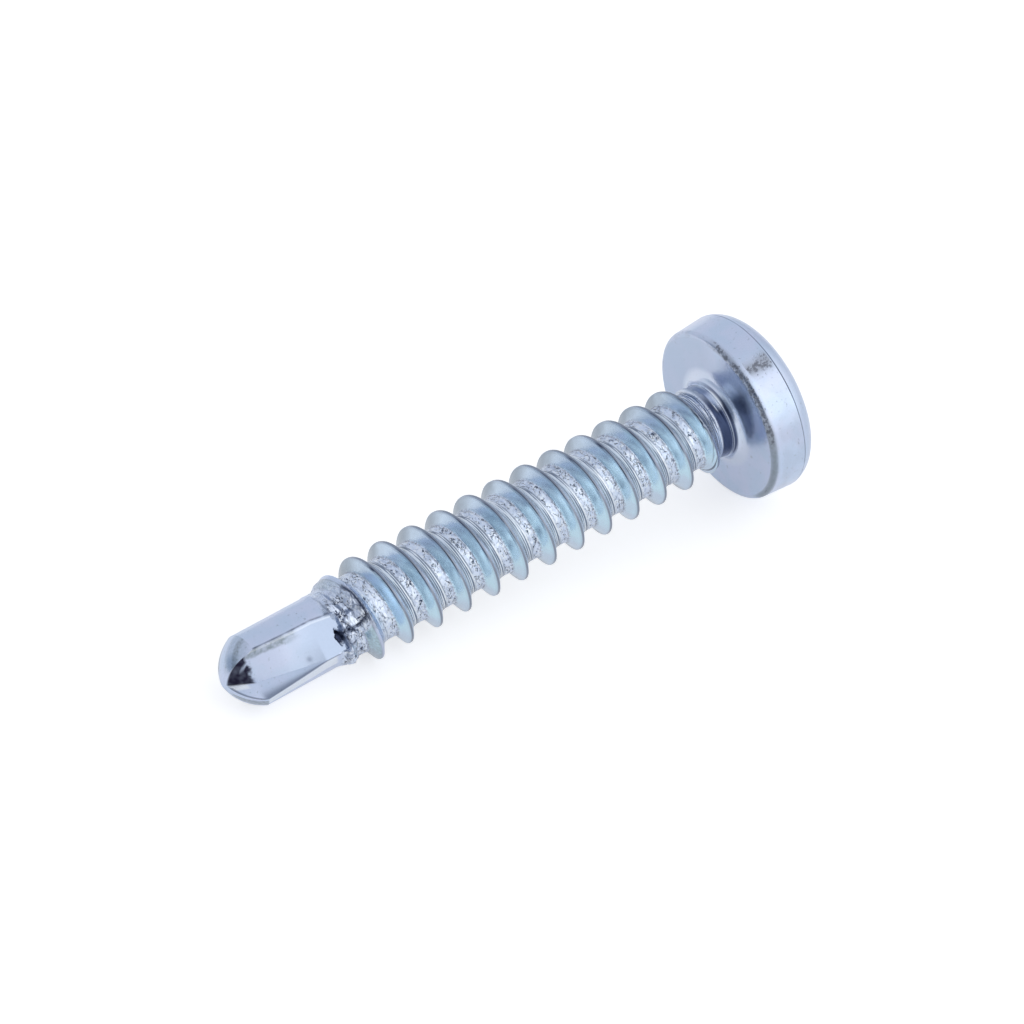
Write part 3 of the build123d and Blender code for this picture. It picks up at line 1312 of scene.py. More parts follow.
    def masks_at(self, turn: np.ndarray, points: np.ndarray, profile: np.ndarray) -> Masks:
        """Masks of the worn edge, the scuffs on the side and the forging line, and painted shade on
        part of the bearing face and on the shoulder.

        Args:
            turn: The turn of each column.
            points: Places in rows of columns.
            profile: The profile's rows.

        Returns:
            The masks, in the same rows.
        """
        height, worn, fold = profile[:, 1:2], profile[:, 2:3], profile[:, 3:4]
        gap = turn_gap(turn, 0.0)
        wander = self.wander.at(points)
        rubbed = self.rubbed_turn.at(gap) + self.rubbed_patches.at(wander)
        near = turn_gap(turn, self.scuff_turn) + self.scuff_wander * wander
        scuff = self.scuff.at(near) * self.scuff_height.at(height)
        far = self.far_scuff.at(turn_gap(turn, self.far_scuff_turn))
        far = far * self.far_scuff_height.at(height)
        specks = self.specks_turn.at(gap) * self.specks_height.at(height)
        specks = specks * self.specks_patches.at(wander)
        rubbed = np.clip(rubbed, self.rubbed_least, 1.0) * worn
        bluish = self.bluish_turn.at(gap) * worn**2
        on_face = height < self.bearing + self.face_shade_height
        return {
            Mask.WORN: np.clip(rubbed + scuff + far + specks, 0.0, 1.0),
            Mask.DULL: bluish,
            Mask.NAVY: self.bluish_navy * bluish,
            # Painted shade on part of the bearing face and on the shoulder.
            Mask.DEEP: np.maximum(
                self.face_shade.at(gap) * on_face, self.shoulder_shade.at(height - self.side_top)
            ),
            Mask.FOLD: fold * self.fold_patches.at(wander),
        }

    def add_to(self, skin: Skin, ring: np.ndarray) -> np.ndarray:
        """Adds the head, from the flare to the bottom of the recess.

        Args:
            skin: The mesh that it is added to.
            ring: Numbers of the ring where the flare meets the bearing face.

        Returns:
            The numbers of the last ring, round the recess's lowest point.
        """
        columns = skin.columns
        turn = even_turns(columns)
        profile = self.profile()
        radius, height, lay = profile[:, :1], profile[:, 1:2], profile[:, 4:]
        points = round_the_axis(radius, turn, height)
        points[..., 2] += self.uneven.at(points) * (height > self.bearing + self.uneven_from)
        masks = self.masks_at(turn, points, profile)
        ring = skin.bridge(ring, skin.add_points(points, lay, masks))
        depth = np.full((1, columns), self.rim_guess)
        for _ in range(self.rim_tries):
            rim = self.recess_place(depth, columns)
            depth = self.top - self.dome_height(np.linalg.norm(rim, axis=-1))
        place = between(points[-1, :, :2], rim, steps(self.dome_rows)[:, None, None])
        out = np.linalg.norm(place, axis=-1)
        dome = raised(place, self.dome_height(out))
        ring = skin.bridge(ring, skin.add_points(dome, lay[-1] + self.dome_lay - out, {}))
        deep = between(depth, self.recess_depth, steps(self.recess_rows)[:, None])
        place = self.recess_place(deep, columns)
        ring = skin.bridge(ring, skin.add_points(raised(place, self.top - deep), deep, {}))
        share = steps(self.floor_rows)[:-1]
        bottom = self.top - self.recess_depth
        sunk = rings(bottom - self.core_point * share, columns)
        floor = raised(place[-1] * (1.0 - share[:, None, None]), sunk)
        ring = skin.bridge(ring, skin.add_points(floor, share[:, None], {}))
        skin.close(ring, bottom - self.core_point, upward=True)
        return ring


@dataclass
class Neck:
    """The thread's end, the smooth neck and the flare up to the bearing face."""

    shank: Shank
    head: PanHead
    neck_rows: int = 38
    flare_rows: int = 16
    flare_gap: float = 0.012
    flare_start_radius: float = 1.69
    flare_bow: tuple[float, float] = (0.41, 0.08)
    flare_fullness: float = 0.96
    root_laps: float = 0.02
    drawn_laps: float = 0.006
    drawn: Band = Band(22.85, 23.42, 0.12)
    # A painted highlight line round the neck.
    neck_glint: Band = Band(23.48, 23.52, 0.03, 0.45)
    # Painted shade round the neck: its heights and how strong it is at each turn.
    navy_height: Band = Band(23.59, 24.0, 0.04)
    navy_least: float = 0.45
    navy_rise: Rise = Rise(-50.0, -15.0, 0.0, 0.55)
    navy_fall: Rise = Rise(55.0, 95.0, 1.0, 0.0)
    # A painted highlight spot at the flare's start, which clears the painted shade there.
    gleam_turn: Band = Band(-31.0, -18.0, 15.0)
    gleam_height: Band = Band(23.82, 24.08, 0.08)
    gleam_strength: float = 0.7
    # Painted highlight lines on the flare.
    flare_glints: tuple[Band, Band] = (Band(23.9, 24.07, 0.03, 0.1), Band(24.24, 24.5, 0.05, 0.3))
    # Painted shade on the flare.
    ring_height: Band = Band(24.10, 24.19, 0.03)
    ring_turn: Band = Band(-30.0, 45.0, 40.0, 0.64)
    ring_least: float = 0.16
    dark_height: Band = Band(23.8, 24.12, 0.04)
    dark_turn: Band = Band(-4.0, 70.0, 12.0, 0.6)

    def add_to(self, skin: Skin, ring: np.ndarray) -> np.ndarray:
        """Adds the neck and the flare, up to the ring where the bearing face starts."""
        return self.add_flare(skin, self.add_neck(skin, ring))

    def add_neck(self, skin: Skin, ring: np.ndarray) -> np.ndarray:
        """Adds the thread's end and the smooth neck.

        Args:
            skin: The mesh that they are added to.
            ring: Numbers of the ring above the last whole turn.

        Returns:
            The numbers of the neck's last ring.
        """
        shank = self.shank
        levels = between(shank.full_to, shank.flare_start, steps(self.neck_rows))
        height = rings(levels, skin.columns)
        turn = np.broadcast_to(even_turns(skin.columns), height.shape)
        fade = 1.0 - smooth_step(shank.full_to, shank.end, height)
        masks = {mask: value * fade for mask, value in shank.masks_at(turn, height).items()}
        gleam = self.gleam(turn, height)
        masks[Mask.DRAWN] = self.drawn.at(height)
        # Painted highlights on the neck, and painted shade round it.
        masks[Mask.GLINT] = self.neck_glint.at(height) + self.gleam_strength * gleam
        masks[Mask.NAVY] = self.navy(turn) * self.navy_height.at(height) * (1.0 - gleam)
        laps = self.root_laps * masks[Mask.ROOT] + self.drawn_laps * masks[Mask.DRAWN]
        smooth = round_the_axis(shank.body(turn, height), turn, height)
        numbers = skin.add_points(shank.roughened(smooth, laps), height, masks)
        return skin.bridge(ring, numbers)

    def add_flare(self, skin: Skin, ring: np.ndarray) -> np.ndarray:
        """Adds the flare.

        Args:
            skin: The mesh that it is added to.
            ring: Numbers of the neck's last ring.

        Returns:
            The numbers of the ring where the flare meets the bearing face.
        """
        share = np.arange(self.flare_rows) / (self.flare_rows - 1)
        start = self.shank.flare_start + self.flare_gap
        height = rings(between(start, self.head.bearing, share), skin.columns)
        turn = np.broadcast_to(even_turns(skin.columns), height.shape)
        bow = 1.0 - np.sqrt(1.0 - share**2 * self.flare_fullness)
        bow = self.flare_bow[0] * bow + self.flare_bow[1] * share
        radius = between(self.flare_start_radius, self.head.flare_radius, bow / bow[-1])
        radius = rings(radius, skin.columns)
        gap = turn_gap(turn, 0.0)
        # Painted highlights on the flare.
        glint = sum(band.at(height) for band in self.flare_glints)
        glint = glint + self.gleam_strength * self.gleam(turn, height)
        # Painted shade on the flare.
        navy = self.ring_height.at(height) * (self.ring_least + self.ring_turn.at(gap))
        navy = navy + self.dark_height.at(height) * self.dark_turn.at(gap)
        masks = {Mask.GLINT: np.clip(glint, 0.0, 1.0), Mask.NAVY: navy}
        numbers = skin.add_points(round_the_axis(radius, turn, height), height, masks)
        return skin.bridge(ring, numbers)

    def navy(self, turn: np.ndarray) -> np.ndarray:
        """How strong the painted shade round the neck is at each turn."""
        gap = turn_gap(turn, 0.0)
        return self.navy_least + self.navy_rise.at(gap) * self.navy_fall.at(gap)

    def gleam(self, turn: np.ndarray, height: np.ndarray) -> np.ndarray:
        """The painted highlight spot at the flare's start, which also clears the painted shade
        there.
        """
        return self.gleam_turn.at(turn_gap(turn, 0.0)) * self.gleam_height.at(height)


class NodeWeb:
    """Short ways to add and join nodes in one node tree."""

    def __init__(self, tree: bpy.types.NodeTree) -> None:
        """Keeps the tree that nodes are added to."""
        self.tree = tree

    def add(self, kind: str, **settings: object) -> bpy.types.Node:
        """Adds a node.

        Args:
            kind: The node's type, without the ShaderNode at its front.
            settings: Attributes that are set on it.

        Returns:
            The node.
        """
        node = self.tree.nodes.new("ShaderNode" + kind)
        for name, value in settings.items():
            setattr(node, name, value)
        return node

    def put(self, socket: Socket, value: Value) -> None:
        """Links a socket, or sets a plain value, into an input.

        Args:
            socket: The input.
            value: What goes into it; a colour needs no alpha.
        """
        if isinstance(value, bpy.types.NodeSocket):
            self.tree.links.new(value, socket)
        else:
            socket.default_value = (*value, 1.0) if socket.type == "RGBA" else value

    def group(self, tree: bpy.types.NodeTree, **values: Value) -> bpy.types.bpy_prop_collection:
        """Places a node group.

        Args:
            tree: The group.
            values: What goes into its inputs.

        Returns:
            The outputs of its node.
        """
        node = self.add("Group", node_tree=tree)
        for name, value in values.items():
            self.put(node.inputs[name], value)
        return node.outputs

    def math(self, operation: str, *values: Value) -> Socket:
        """Joins numbers.

        Args:
            operation: The Math node's operation.
            values: The numbers.

        Returns:
            The result.
        """
        node = self.add("Math", operation=operation)
        for socket, value in zip(node.inputs, values):
            self.put(socket, value)
        return node.outputs[0]

    def times(self, first: Value, *factors: Value) -> Value:
        """The product of numbers.

        Args:
            first: The first number.
            factors: The others.

        Returns:
            The product.
        """
        for factor in factors:
            first = self.math("MULTIPLY", first, factor)
        return first

    def distance(self, value: Value, centre: float) -> Socket:
        """How far a number is from a centre."""
        return self.math("ABSOLUTE", self.math("SUBTRACT", value, centre))

    def vector(self, operation: str, *values: Value) -> Socket:
        """Joins vectors.

        Args:
            operation: The Vector Math node's operation.
            values: The vectors.

        Returns:
            The result: a number for a dot product, and else a vector.
        """
        node = self.add("VectorMath", operation=operation)
        for socket, value in zip(node.inputs, values):
            self.put(socket, value)
        return node.outputs["Value" if operation == "DOT_PRODUCT" else "Vector"]

    def combine(self, *values: Value) -> Socket:
        """Makes a vector of up to three numbers.

        Args:
            values: The numbers.

        Returns:
            The vector.
        """
        node = self.add("CombineXYZ")
        for socket, value in zip(node.inputs, values):
            self.put(socket, value)
        return node.outputs[0]

    def mix(self, share: Value, first: Value, second: Value) -> Socket:
        """Mixes two colours.

        Args:
            share: How much of the second there is.
            first: A colour.
            second: Another colour.

        Returns:
            The mixed colour.
        """
        node = self.add("Mix", data_type="RGBA")
        for index, value in zip(COLOUR_MIX_INPUTS, (share, first, second)):
            self.put(node.inputs[index], value)
        return node.outputs[COLOUR_MIX_OUTPUT]

    def blend(self, share: Value, first: Value, second: Value) -> Socket:
        """A number between two numbers."""
        return self.math("MULTIPLY_ADD", self.math("SUBTRACT", second, first), share, first)

    def ramp(
        self, value: Value, low: float, high: float, start: float = 0.0, end: float = 1.0
    ) -> Socket:
        """Goes smoothly from start to end.

        Args:
            value: The number that is mapped.
            low: Where it starts.
            high: Where it ends.
            start: The result at low.
            end: The result at high.

        Returns:
            The mapped number.
        """
        node = self.add("MapRange", interpolation_type="SMOOTHSTEP")
        for socket, number in zip(node.inputs, (value, low, high, start, end)):
            self.put(socket, number)
        return node.outputs["Result"]

    def noise(
        self, place: Value, scale: Value, detail: float, rough: float = 0.5, output: str = "Fac"
    ) -> Socket:
        """Adds noise.

        Args:
            place: Where it is read.
            scale: Waves per unit of place.
            detail: How many finer layers it has.
            rough: How strong they are.
            output: Fac for a number, or Color.

        Returns:
            The noise.
        """
        node = self.add("TexNoise")
        settings = {"Vector": place, "Scale": scale, "Detail": detail, "Roughness": rough}
        for name, value in settings.items():
            self.put(node.inputs[name], value)
        return node.outputs[output]

    def millimetres(self, *scale: float) -> Socket:
        """Places on the object in millimetres, times a scale along each axis."""
        place = self.add("TexCoord").outputs["Object"]
        return self.vector("MULTIPLY", place, tuple(s / MM for s in scale or (1.0, 1.0, 1.0)))

    def attribute(self, name: str, output: str) -> Socket:
        """Reads a value that the skin's mesh carries."""
        return self.add("Attribute", attribute_name=name).outputs[output]


class EffectGroup(NodeWeb):
    """A node group under construction, with numbers as its inputs and outputs."""

    def __init__(self, name: str, inputs: dict[str, float], outputs: tuple[str, ...]) -> None:
        """Makes an empty group.

        Args:
            name: The group's name.
            inputs: The name and the default of each input.
            outputs: The name of each output.
        """
        super().__init__(bpy.data.node_groups.new(name, "ShaderNodeTree"))
        face = self.tree.interface
        for label, default in inputs.items():
            socket = face.new_socket(label, in_out="INPUT", socket_type="NodeSocketFloat")
            socket.default_value = default
        for label in outputs:
            face.new_socket(label, in_out="OUTPUT", socket_type="NodeSocketFloat")
        self.given = self.tree.nodes.new("NodeGroupInput").outputs
        self.results = self.tree.nodes.new("NodeGroupOutput").inputs

    def finish(self, **values: Socket) -> bpy.types.NodeTree:
        """Puts values out of the group.

        Args:
            values: The value of each output.

        Returns:
            The group.
        """
        for name, value in values.items():
            self.put(self.results[name], value)
        return self.tree


@dataclass(frozen=True)
class RolledLaps:
    """Rolled laps: short dark cracks with a painted highlight beside them, and pits."""

    stretch: float = 1.6
    bend_scale: float = 1.9
    bend: Colour = (0.5, 0.5, 0.5)
    detail: float = 2.0
    fine_detail: float = 3.0
    rough: float = 0.6
    fold_level: float = 0.5
    fold_edge: tuple[float, float] = (0.030, 0.010)
    patch_scale: float = 2.7
    patch_edge: tuple[float, float] = (0.0, 0.05)
    pit_scale: float = 4.2
    pit_edge: tuple[float, float] = (0.645, 0.69)
    lip_level: float = 0.54
    lip_edge: tuple[float, float] = (0.028, 0.010)
    lip_patch: tuple[float, float] = (-0.04, 0.03)
    fine_scale: float = 8.0
    fold_height: float = 2.2
    fine_height: float = 0.8
    flake_height: float = 0.35

    def build(self) -> bpy.types.NodeTree:
        """Builds the group.

        Returns:
            The group.
        """
        web = EffectGroup(
            "rolled_laps", {"Scale": 4.0, "Cover": 0.5, "Flakes": 7.5, "Pits": 1.0},
            ("Crack", "Shine", "Scale", "Height"),
        )
        place = web.millimetres(self.stretch, 1.0, 1.0)
        bend = web.noise(place, self.bend_scale, self.detail, output="Color")
        bent = web.vector("MULTIPLY_ADD", bend, self.bend, place)
        level = web.noise(bent, web.given["Scale"], self.detail, self.rough)
        patch = web.noise(place, self.patch_scale, self.fine_detail, self.rough)
        patch = web.math("SUBTRACT", patch, web.given["Cover"])
        fold = web.ramp(web.distance(level, self.fold_level), *self.fold_edge)
        fold = web.times(fold, web.ramp(patch, *self.patch_edge))
        pits = web.noise(bent, self.pit_scale, self.fine_detail, self.rough)
        pits = web.ramp(pits, *self.pit_edge)
        crack = web.math("MAXIMUM", fold, web.times(pits, web.given["Pits"]))
        # A painted highlight beside each crack.
        lip = web.ramp(web.distance(level, self.lip_level), *self.lip_edge)
        flakes = web.add("TexVoronoi", feature="F1")
        web.put(flakes.inputs["Vector"], bent)
        web.put(flakes.inputs["Scale"], web.given["Flakes"])
        tint = web.add("SeparateColor")
        web.put(tint.inputs[0], flakes.outputs["Color"])
        fine = web.noise(place, self.fine_scale, self.fine_detail, self.rough)
        fine = web.times(fine, self.fine_height)
        height = web.math("MULTIPLY_ADD", level, self.fold_height, fine)
        height = web.math("MULTIPLY_ADD", tint.outputs[1], self.flake_height, height)
        return web.finish(
            Crack=crack, Shine=web.times(lip, web.ramp(patch, *self.lip_patch)),
            Scale=tint.outputs[0], Height=web.math("SUBTRACT", height, crack),
        )


@dataclass(frozen=True)
class RollingLines:
    """Fine lines that run round the screw, as rolling dies leave them."""

    bend_scale: float = 0.35
    bend_detail: float = 1.0
    bend: float = 3.0
    detail: float = 2.0
    rough: float = 0.6
    even_density: float = 5.0
    even_bend: float = 1.5
    even_height: float = 0.13
    line_edge: tuple[float, float] = (0.49, 0.43)
    ridge_edge: tuple[float, float] = (0.52, 0.58)

    def build(self) -> bpy.types.NodeTree:
        """Builds the group.

        Returns:
            The group.
        """
        web = EffectGroup(
            "rolling_lines", {"Density": 12.0, "Length": 0.8}, ("Line", "Ridge", "Height")
        )
        length = web.given["Length"]
        reach = web.combine(length, length, web.given["Density"])
        stretched = web.vector("MULTIPLY", web.attribute("grain", "Vector"), reach)
        bend = web.noise(web.millimetres(), self.bend_scale, self.bend_detail)
        bend = web.times(bend, self.bend)
        moved = web.vector("ADD", stretched, web.combine(bend))
        apart = web.add("SeparateXYZ")
        web.put(apart.inputs[0], stretched)
        bend = web.times(bend, self.even_bend)
        phase = web.math("MULTIPLY_ADD", apart.outputs[2], self.even_density, bend)
        lines = web.math(
            "MULTIPLY_ADD", web.math("SINE", phase), self.even_height,
            web.noise(moved, 1.0, self.detail, self.rough),
        )
        return web.finish(
            Line=web.ramp(lines, *self.line_edge), Ridge=web.ramp(lines, *self.ridge_edge),
            Height=lines,
        )


@dataclass(frozen=True)
class ZincMottle:
    """Soft patches, fine grain and small specks of the passivated zinc."""

    detail: float = 3.0
    tone: tuple[float, float] = (0.9, 0.5)
    grain: tuple[float, float] = (9.0, 0.55)
    specks: tuple[float, float] = (7.0, 0.65)
    speck_edge: tuple[float, float] = (0.63, 0.70)

    def build(self) -> bpy.types.NodeTree:
        """Builds the group.

        Returns:
            The group.
        """
        web = EffectGroup("zinc_mottle", {"Scale": 1.0}, ("Tone", "Grain", "Speck"))
        scaled = web.add("VectorMath", operation="SCALE")
        web.put(scaled.inputs[0], web.millimetres())
        web.put(scaled.inputs["Scale"], web.given["Scale"])
        tone, grain, specks = (
            web.noise(scaled.outputs[0], scale, self.detail, rough)
            for scale, rough in (self.tone, self.grain, self.specks)
        )
        return web.finish(Tone=tone, Grain=grain, Speck=web.ramp(specks, *self.speck_edge))


@dataclass(frozen=True)
class RubbedSpecks:
    """Rubbed places: specks where the amount is small, and nearly all of it where it is 1."""

    detail: float = 3.0
    rough: float = 0.65
    reach: float = 0.24
    edge: tuple[float, float] = (0.66, 0.82)
    some: tuple[float, float] = (0.02, 0.2)

    def build(self) -> bpy.types.NodeTree:
        """Builds the group.

        Returns:
            The group.
        """
        web = EffectGroup("rubbed_specks", {"Amount": 0.0, "Scale": 6.0}, ("Wear",))
        specks = web.noise(web.millimetres(), web.given["Scale"], self.detail, self.rough)
        level = web.math("MULTIPLY_ADD", web.given["Amount"], self.reach, specks)
        some = web.ramp(web.given["Amount"], *self.some)
        return web.finish(Wear=web.times(web.ramp(level, *self.edge), some))


@dataclass(frozen=True)
class Effects:
    """Node groups that the finish places with its own values."""

    laps: bpy.types.NodeTree
    lines: bpy.types.NodeTree
    mottle: bpy.types.NodeTree
    wear: bpy.types.NodeTree

    @classmethod
    def build(cls) -> "Effects":
        """Builds each group once."""
        kinds = (RolledLaps(), RollingLines(), ZincMottle(), RubbedSpecks())
        return cls(*(kind.build() for kind in kinds))


@dataclass(frozen=True)
class ZincFinish:
    """Bright zinc with a blue passivation, rubbed on the head's edge, with painted highlights and
    painted shade.

    Two numbers give where a smooth rise starts and ends, and four give the results
    there as well.
    """

    name: str = "zinc_plated"
    zinc: Colour = (0.56, 0.66, 0.83)
    lavender: Colour = (0.61, 0.675, 0.85)
    root: Colour = (0.72, 0.80, 0.95)
    flank: Colour = (0.64, 0.76, 0.90)
    # Painted highlight and painted shade on the flanks.
    flank_highlight: Colour = (0.66, 0.88, 0.99)
    flank_shade: Colour = (0.36, 0.42, 0.49)
    crest: Colour = (0.21, 0.24, 0.29)
    shaded: Colour = (0.34, 0.41, 0.56)
    rolled: Colour = (0.76, 0.84, 0.95)
    # Colour of painted shade.
    deep: Colour = (0.44, 0.52, 0.67)
    scored: Colour = (0.13, 0.17, 0.25)
    crack: Colour = (0.05, 0.065, 0.12)
    worn: Colour = (0.115, 0.12, 0.145)
    rubbed: Colour = (0.31, 0.34, 0.40)
    dull: Colour = (0.25, 0.30, 0.34)
    # Colour of the painted dark reflection in the notch.
    soot: Colour = (0.020, 0.018, 0.04)
    # Colour of the painted shade round the neck and on the flare, and of a blue tint on the head's
    # worn edge.
    navy: Colour = (0.05, 0.07, 0.14)
    # Colour of painted highlights.
    glint: Colour = (0.90, 0.94, 0.98)
    root_laps: tuple[tuple[str, float], ...] = (("Scale", 3.6), ("Cover", 0.465))
    torn_laps: tuple[tuple[str, float], ...] = (
        ("Scale", 2.2), ("Cover", 0.475), ("Flakes", 3.4), ("Pits", 0.2),
    )
    tone_edge: tuple[float, float] = (0.35, 0.65)
    speck_share: float = 0.5
    # Painted highlight and painted shade on the flanks, by which way each place faces round the
    # axis.
    lit_turn: float = 16.0
    lit_tone: float = 0.8
    lit_offset: float = 0.4
    cyan_edge: tuple[float, float] = (0.42, 0.92)
    lobe_edge: tuple[float, float] = (0.30, -0.4)
    # Random flakes of the root: ones that darken, and ones that get painted highlights.
    dim_flakes: tuple[float, ...] = (0.42, 0.05, 0.0, 0.42)
    bright_flakes: tuple[float, ...] = (0.62, 0.95, 0.0, 0.55)
    shine_share: float = 0.7
    broken_edge: tuple[float, float] = (0.44, 0.56)
    crest_share: float = 0.85
    ridge_share: float = 0.8
    line_share: float = 0.9
    edge_lines: tuple[float, ...] = (0.42, 0.56, 1.0, 0.4)
    dull_patches: tuple[float, ...] = (0.35, 0.6, 0.65, 1.0)
    rubbed_share: float = 0.75
    worn_share: float = 0.68
    glint_share: float = 0.8
    fold_share: float = 0.85
    lined_matt: float = 0.45
    roughness: tuple[float, ...] = (0.3, 0.7, 0.21, 0.26)
    root_roughness: float = 0.10
    wear_and_notch_shade_roughness: float = 0.25
    line_height: float = 1.3
    grain_height: float = 0.11
    wear_depth: float = 0.4
    bump: float = 0.00002

    def build(self, effects: Effects) -> bpy.types.Material:
        """Builds the material.

        Args:
            effects: The shared node groups.

        Returns:
            The material.
        """
        material = bpy.data.materials.new(self.name)
        material.use_nodes = True
        web = NodeWeb(material.node_tree)
        inputs = material.node_tree.nodes["Principled BSDF"].inputs
        mask = {kind: web.attribute(kind.value, "Fac") for kind in Mask}
        lap_kinds = (dict(self.root_laps), dict(self.torn_laps))
        root_laps, torn_laps = (web.group(effects.laps, **values) for values in lap_kinds)
        lap = {
            name: web.blend(mask[Mask.TORN], root_laps[name], torn_laps[name])
            for name in ("Crack", "Shine", "Scale", "Height")
        }
        lines = web.group(effects.lines)
        mottle = web.group(effects.mottle)
        wear = web.group(effects.wear, Amount=mask[Mask.WORN])["Wear"]
        rooty = web.math("MAXIMUM", mask[Mask.ROOT], mask[Mask.TORN])
        lined = web.math("MAXIMUM", mask[Mask.LINED], mask[Mask.DRAWN])

        # Painted highlights on the root and the torn metal: beside the laps' cracks and on random
        # flakes.
        shine = web.times(lap["Shine"], self.shine_share)
        bright = web.math("MAXIMUM", shine, web.ramp(lap["Scale"], *self.bright_flakes))
        broken = web.ramp(mottle["Grain"], *self.broken_edge)
        broken = web.times(mask[Mask.CRACK], web.math("MAXIMUM", mask[Mask.TORN], broken))
        crack = web.math("MAXIMUM", web.times(lap["Crack"], rooty), broken)
        patchy = web.ramp(mottle["Grain"], *self.dull_patches)
        patchy = web.times(patchy, web.math("SUBTRACT", 1.0, mask[Mask.TORN]))
        coats = (
            (rooty, self.root),
            # Random flakes of the root: darker ones here, and painted highlights on bright ones
            # below.
            (web.times(rooty, web.ramp(lap["Scale"], *self.dim_flakes)), self.shaded),
            (web.times(bright, rooty), self.glint),
            # Real cracks, and painted shade where the root meets the flank.
            (crack, self.crack),
            (mask[Mask.LINED], self.rolled),
            (web.times(mask[Mask.CREST], self.crest_share), self.crest),
            # Painted highlight lines beside the scored lines.
            (web.times(lines["Ridge"], mask[Mask.LINED], self.ridge_share), self.glint),
            (web.times(lines["Line"], lined, self.line_share), self.scored),
            (web.times(mask[Mask.EDGE], web.ramp(lines["Height"], *self.edge_lines)), self.crack),
            # Painted shade round the neck and on the flare, and a blue tint on the head's worn
            # edge.
            (mask[Mask.NAVY], self.navy),
            # Dull places, and painted shade in strips on the drill point's end.
            (web.times(mask[Mask.DULL], patchy), self.dull),
            (web.times(mask[Mask.WORN], self.rubbed_share), self.rubbed),
            (web.times(wear, self.worn_share), self.worn),
            # Painted highlights.
            (web.times(mask[Mask.GLINT], self.glint_share), self.glint),
            (web.times(mask[Mask.FOLD], self.fold_share), self.crack),
            # Painted dark reflection in the drill point's notch.
            (mask[Mask.SOOT], self.soot),
        )
        colour = self.plated(web, mottle, mask)
        for share, tint in coats:
            colour = web.mix(share, colour, tint)
        web.put(inputs["Base Color"], colour)
        metal = web.math("SUBTRACT", 1.0, web.times(mask[Mask.LINED], self.lined_matt))
        web.put(inputs["Metallic"], metal)

        rough = web.ramp(mottle["Grain"], *self.roughness)
        rough = web.math("MULTIPLY_ADD", rooty, self.root_roughness, rough)
        # Roughness rises with the wear and with the notch's painted dark reflection.
        wear_and_notch_shade = web.math("MAXIMUM", wear, mask[Mask.SOOT])
        rough = web.math("MULTIPLY_ADD", wear_and_notch_shade, self.wear_and_notch_shade_roughness, rough)
        web.put(inputs["Roughness"], rough)

        height = web.times(lap["Height"], rooty)
        lined = web.times(lined, self.line_height)
        height = web.math("MULTIPLY_ADD", lines["Height"], lined, height)
        height = web.math("MULTIPLY_ADD", mottle["Grain"], self.grain_height, height)
        height = web.math("SUBTRACT", height, web.times(wear, self.wear_depth))
        bump = web.add("Bump")
        for name, value in (("Strength", 1.0), ("Distance", self.bump), ("Height", height)):
            web.put(bump.inputs[name], value)
        web.put(inputs["Normal"], bump.outputs["Normal"])
        return material

    def plated(
        self, web: NodeWeb, mottle: bpy.types.bpy_prop_collection, mask: dict[Mask, Socket]
    ) -> Socket:
        """Colour of the smooth plated faces, with a painted highlight and painted shade on the
        flanks by which way each place faces round the axis.

        Args:
            web: The material's nodes.
            mottle: The mottle group's outputs.
            mask: The skin's masks.

        Returns:
            The colour.
        """
        colour = web.mix(web.ramp(mottle["Tone"], *self.tone_edge), self.zinc, self.lavender)
        colour = web.mix(web.times(mottle["Speck"], self.speck_share), colour, self.dull)
        # Painted shade towards the flutes' ends, on part of the bearing face and on the shoulder.
        colour = web.mix(mask[Mask.DEEP], colour, self.deep)
        # Painted highlight and painted shade on the flanks, by which way each place faces round the
        # axis.
        turn = radians(self.lit_turn)
        grain = web.attribute("grain", "Vector")
        facing = web.vector("DOT_PRODUCT", grain, (cos(turn), sin(turn), 0.0))
        facing = web.math("SUBTRACT", facing, self.lit_offset)
        lit_side = web.math("MULTIPLY_ADD", mottle["Tone"], self.lit_tone, facing)
        flank = web.mix(web.ramp(lit_side, *self.cyan_edge), self.flank, self.flank_highlight)
        flank = web.mix(web.ramp(lit_side, *self.lobe_edge), flank, self.flank_shade)
        return web.mix(mask[Mask.FLANK], colour, flank)


@dataclass(frozen=True)
class SoftBox:
    """A square lamp that faces the screw: where it hangs, its size and its glow."""

    name: str
    turn: float
    rise: float
    distance: float
    size: float
    glow: float


@dataclass(frozen=True)
class RoomPatch:
    """A part of the room with its own shade, and how near its centre it starts and fills."""

    turn: float
    rise: float
    start: float
    full: float
    colour: Colour


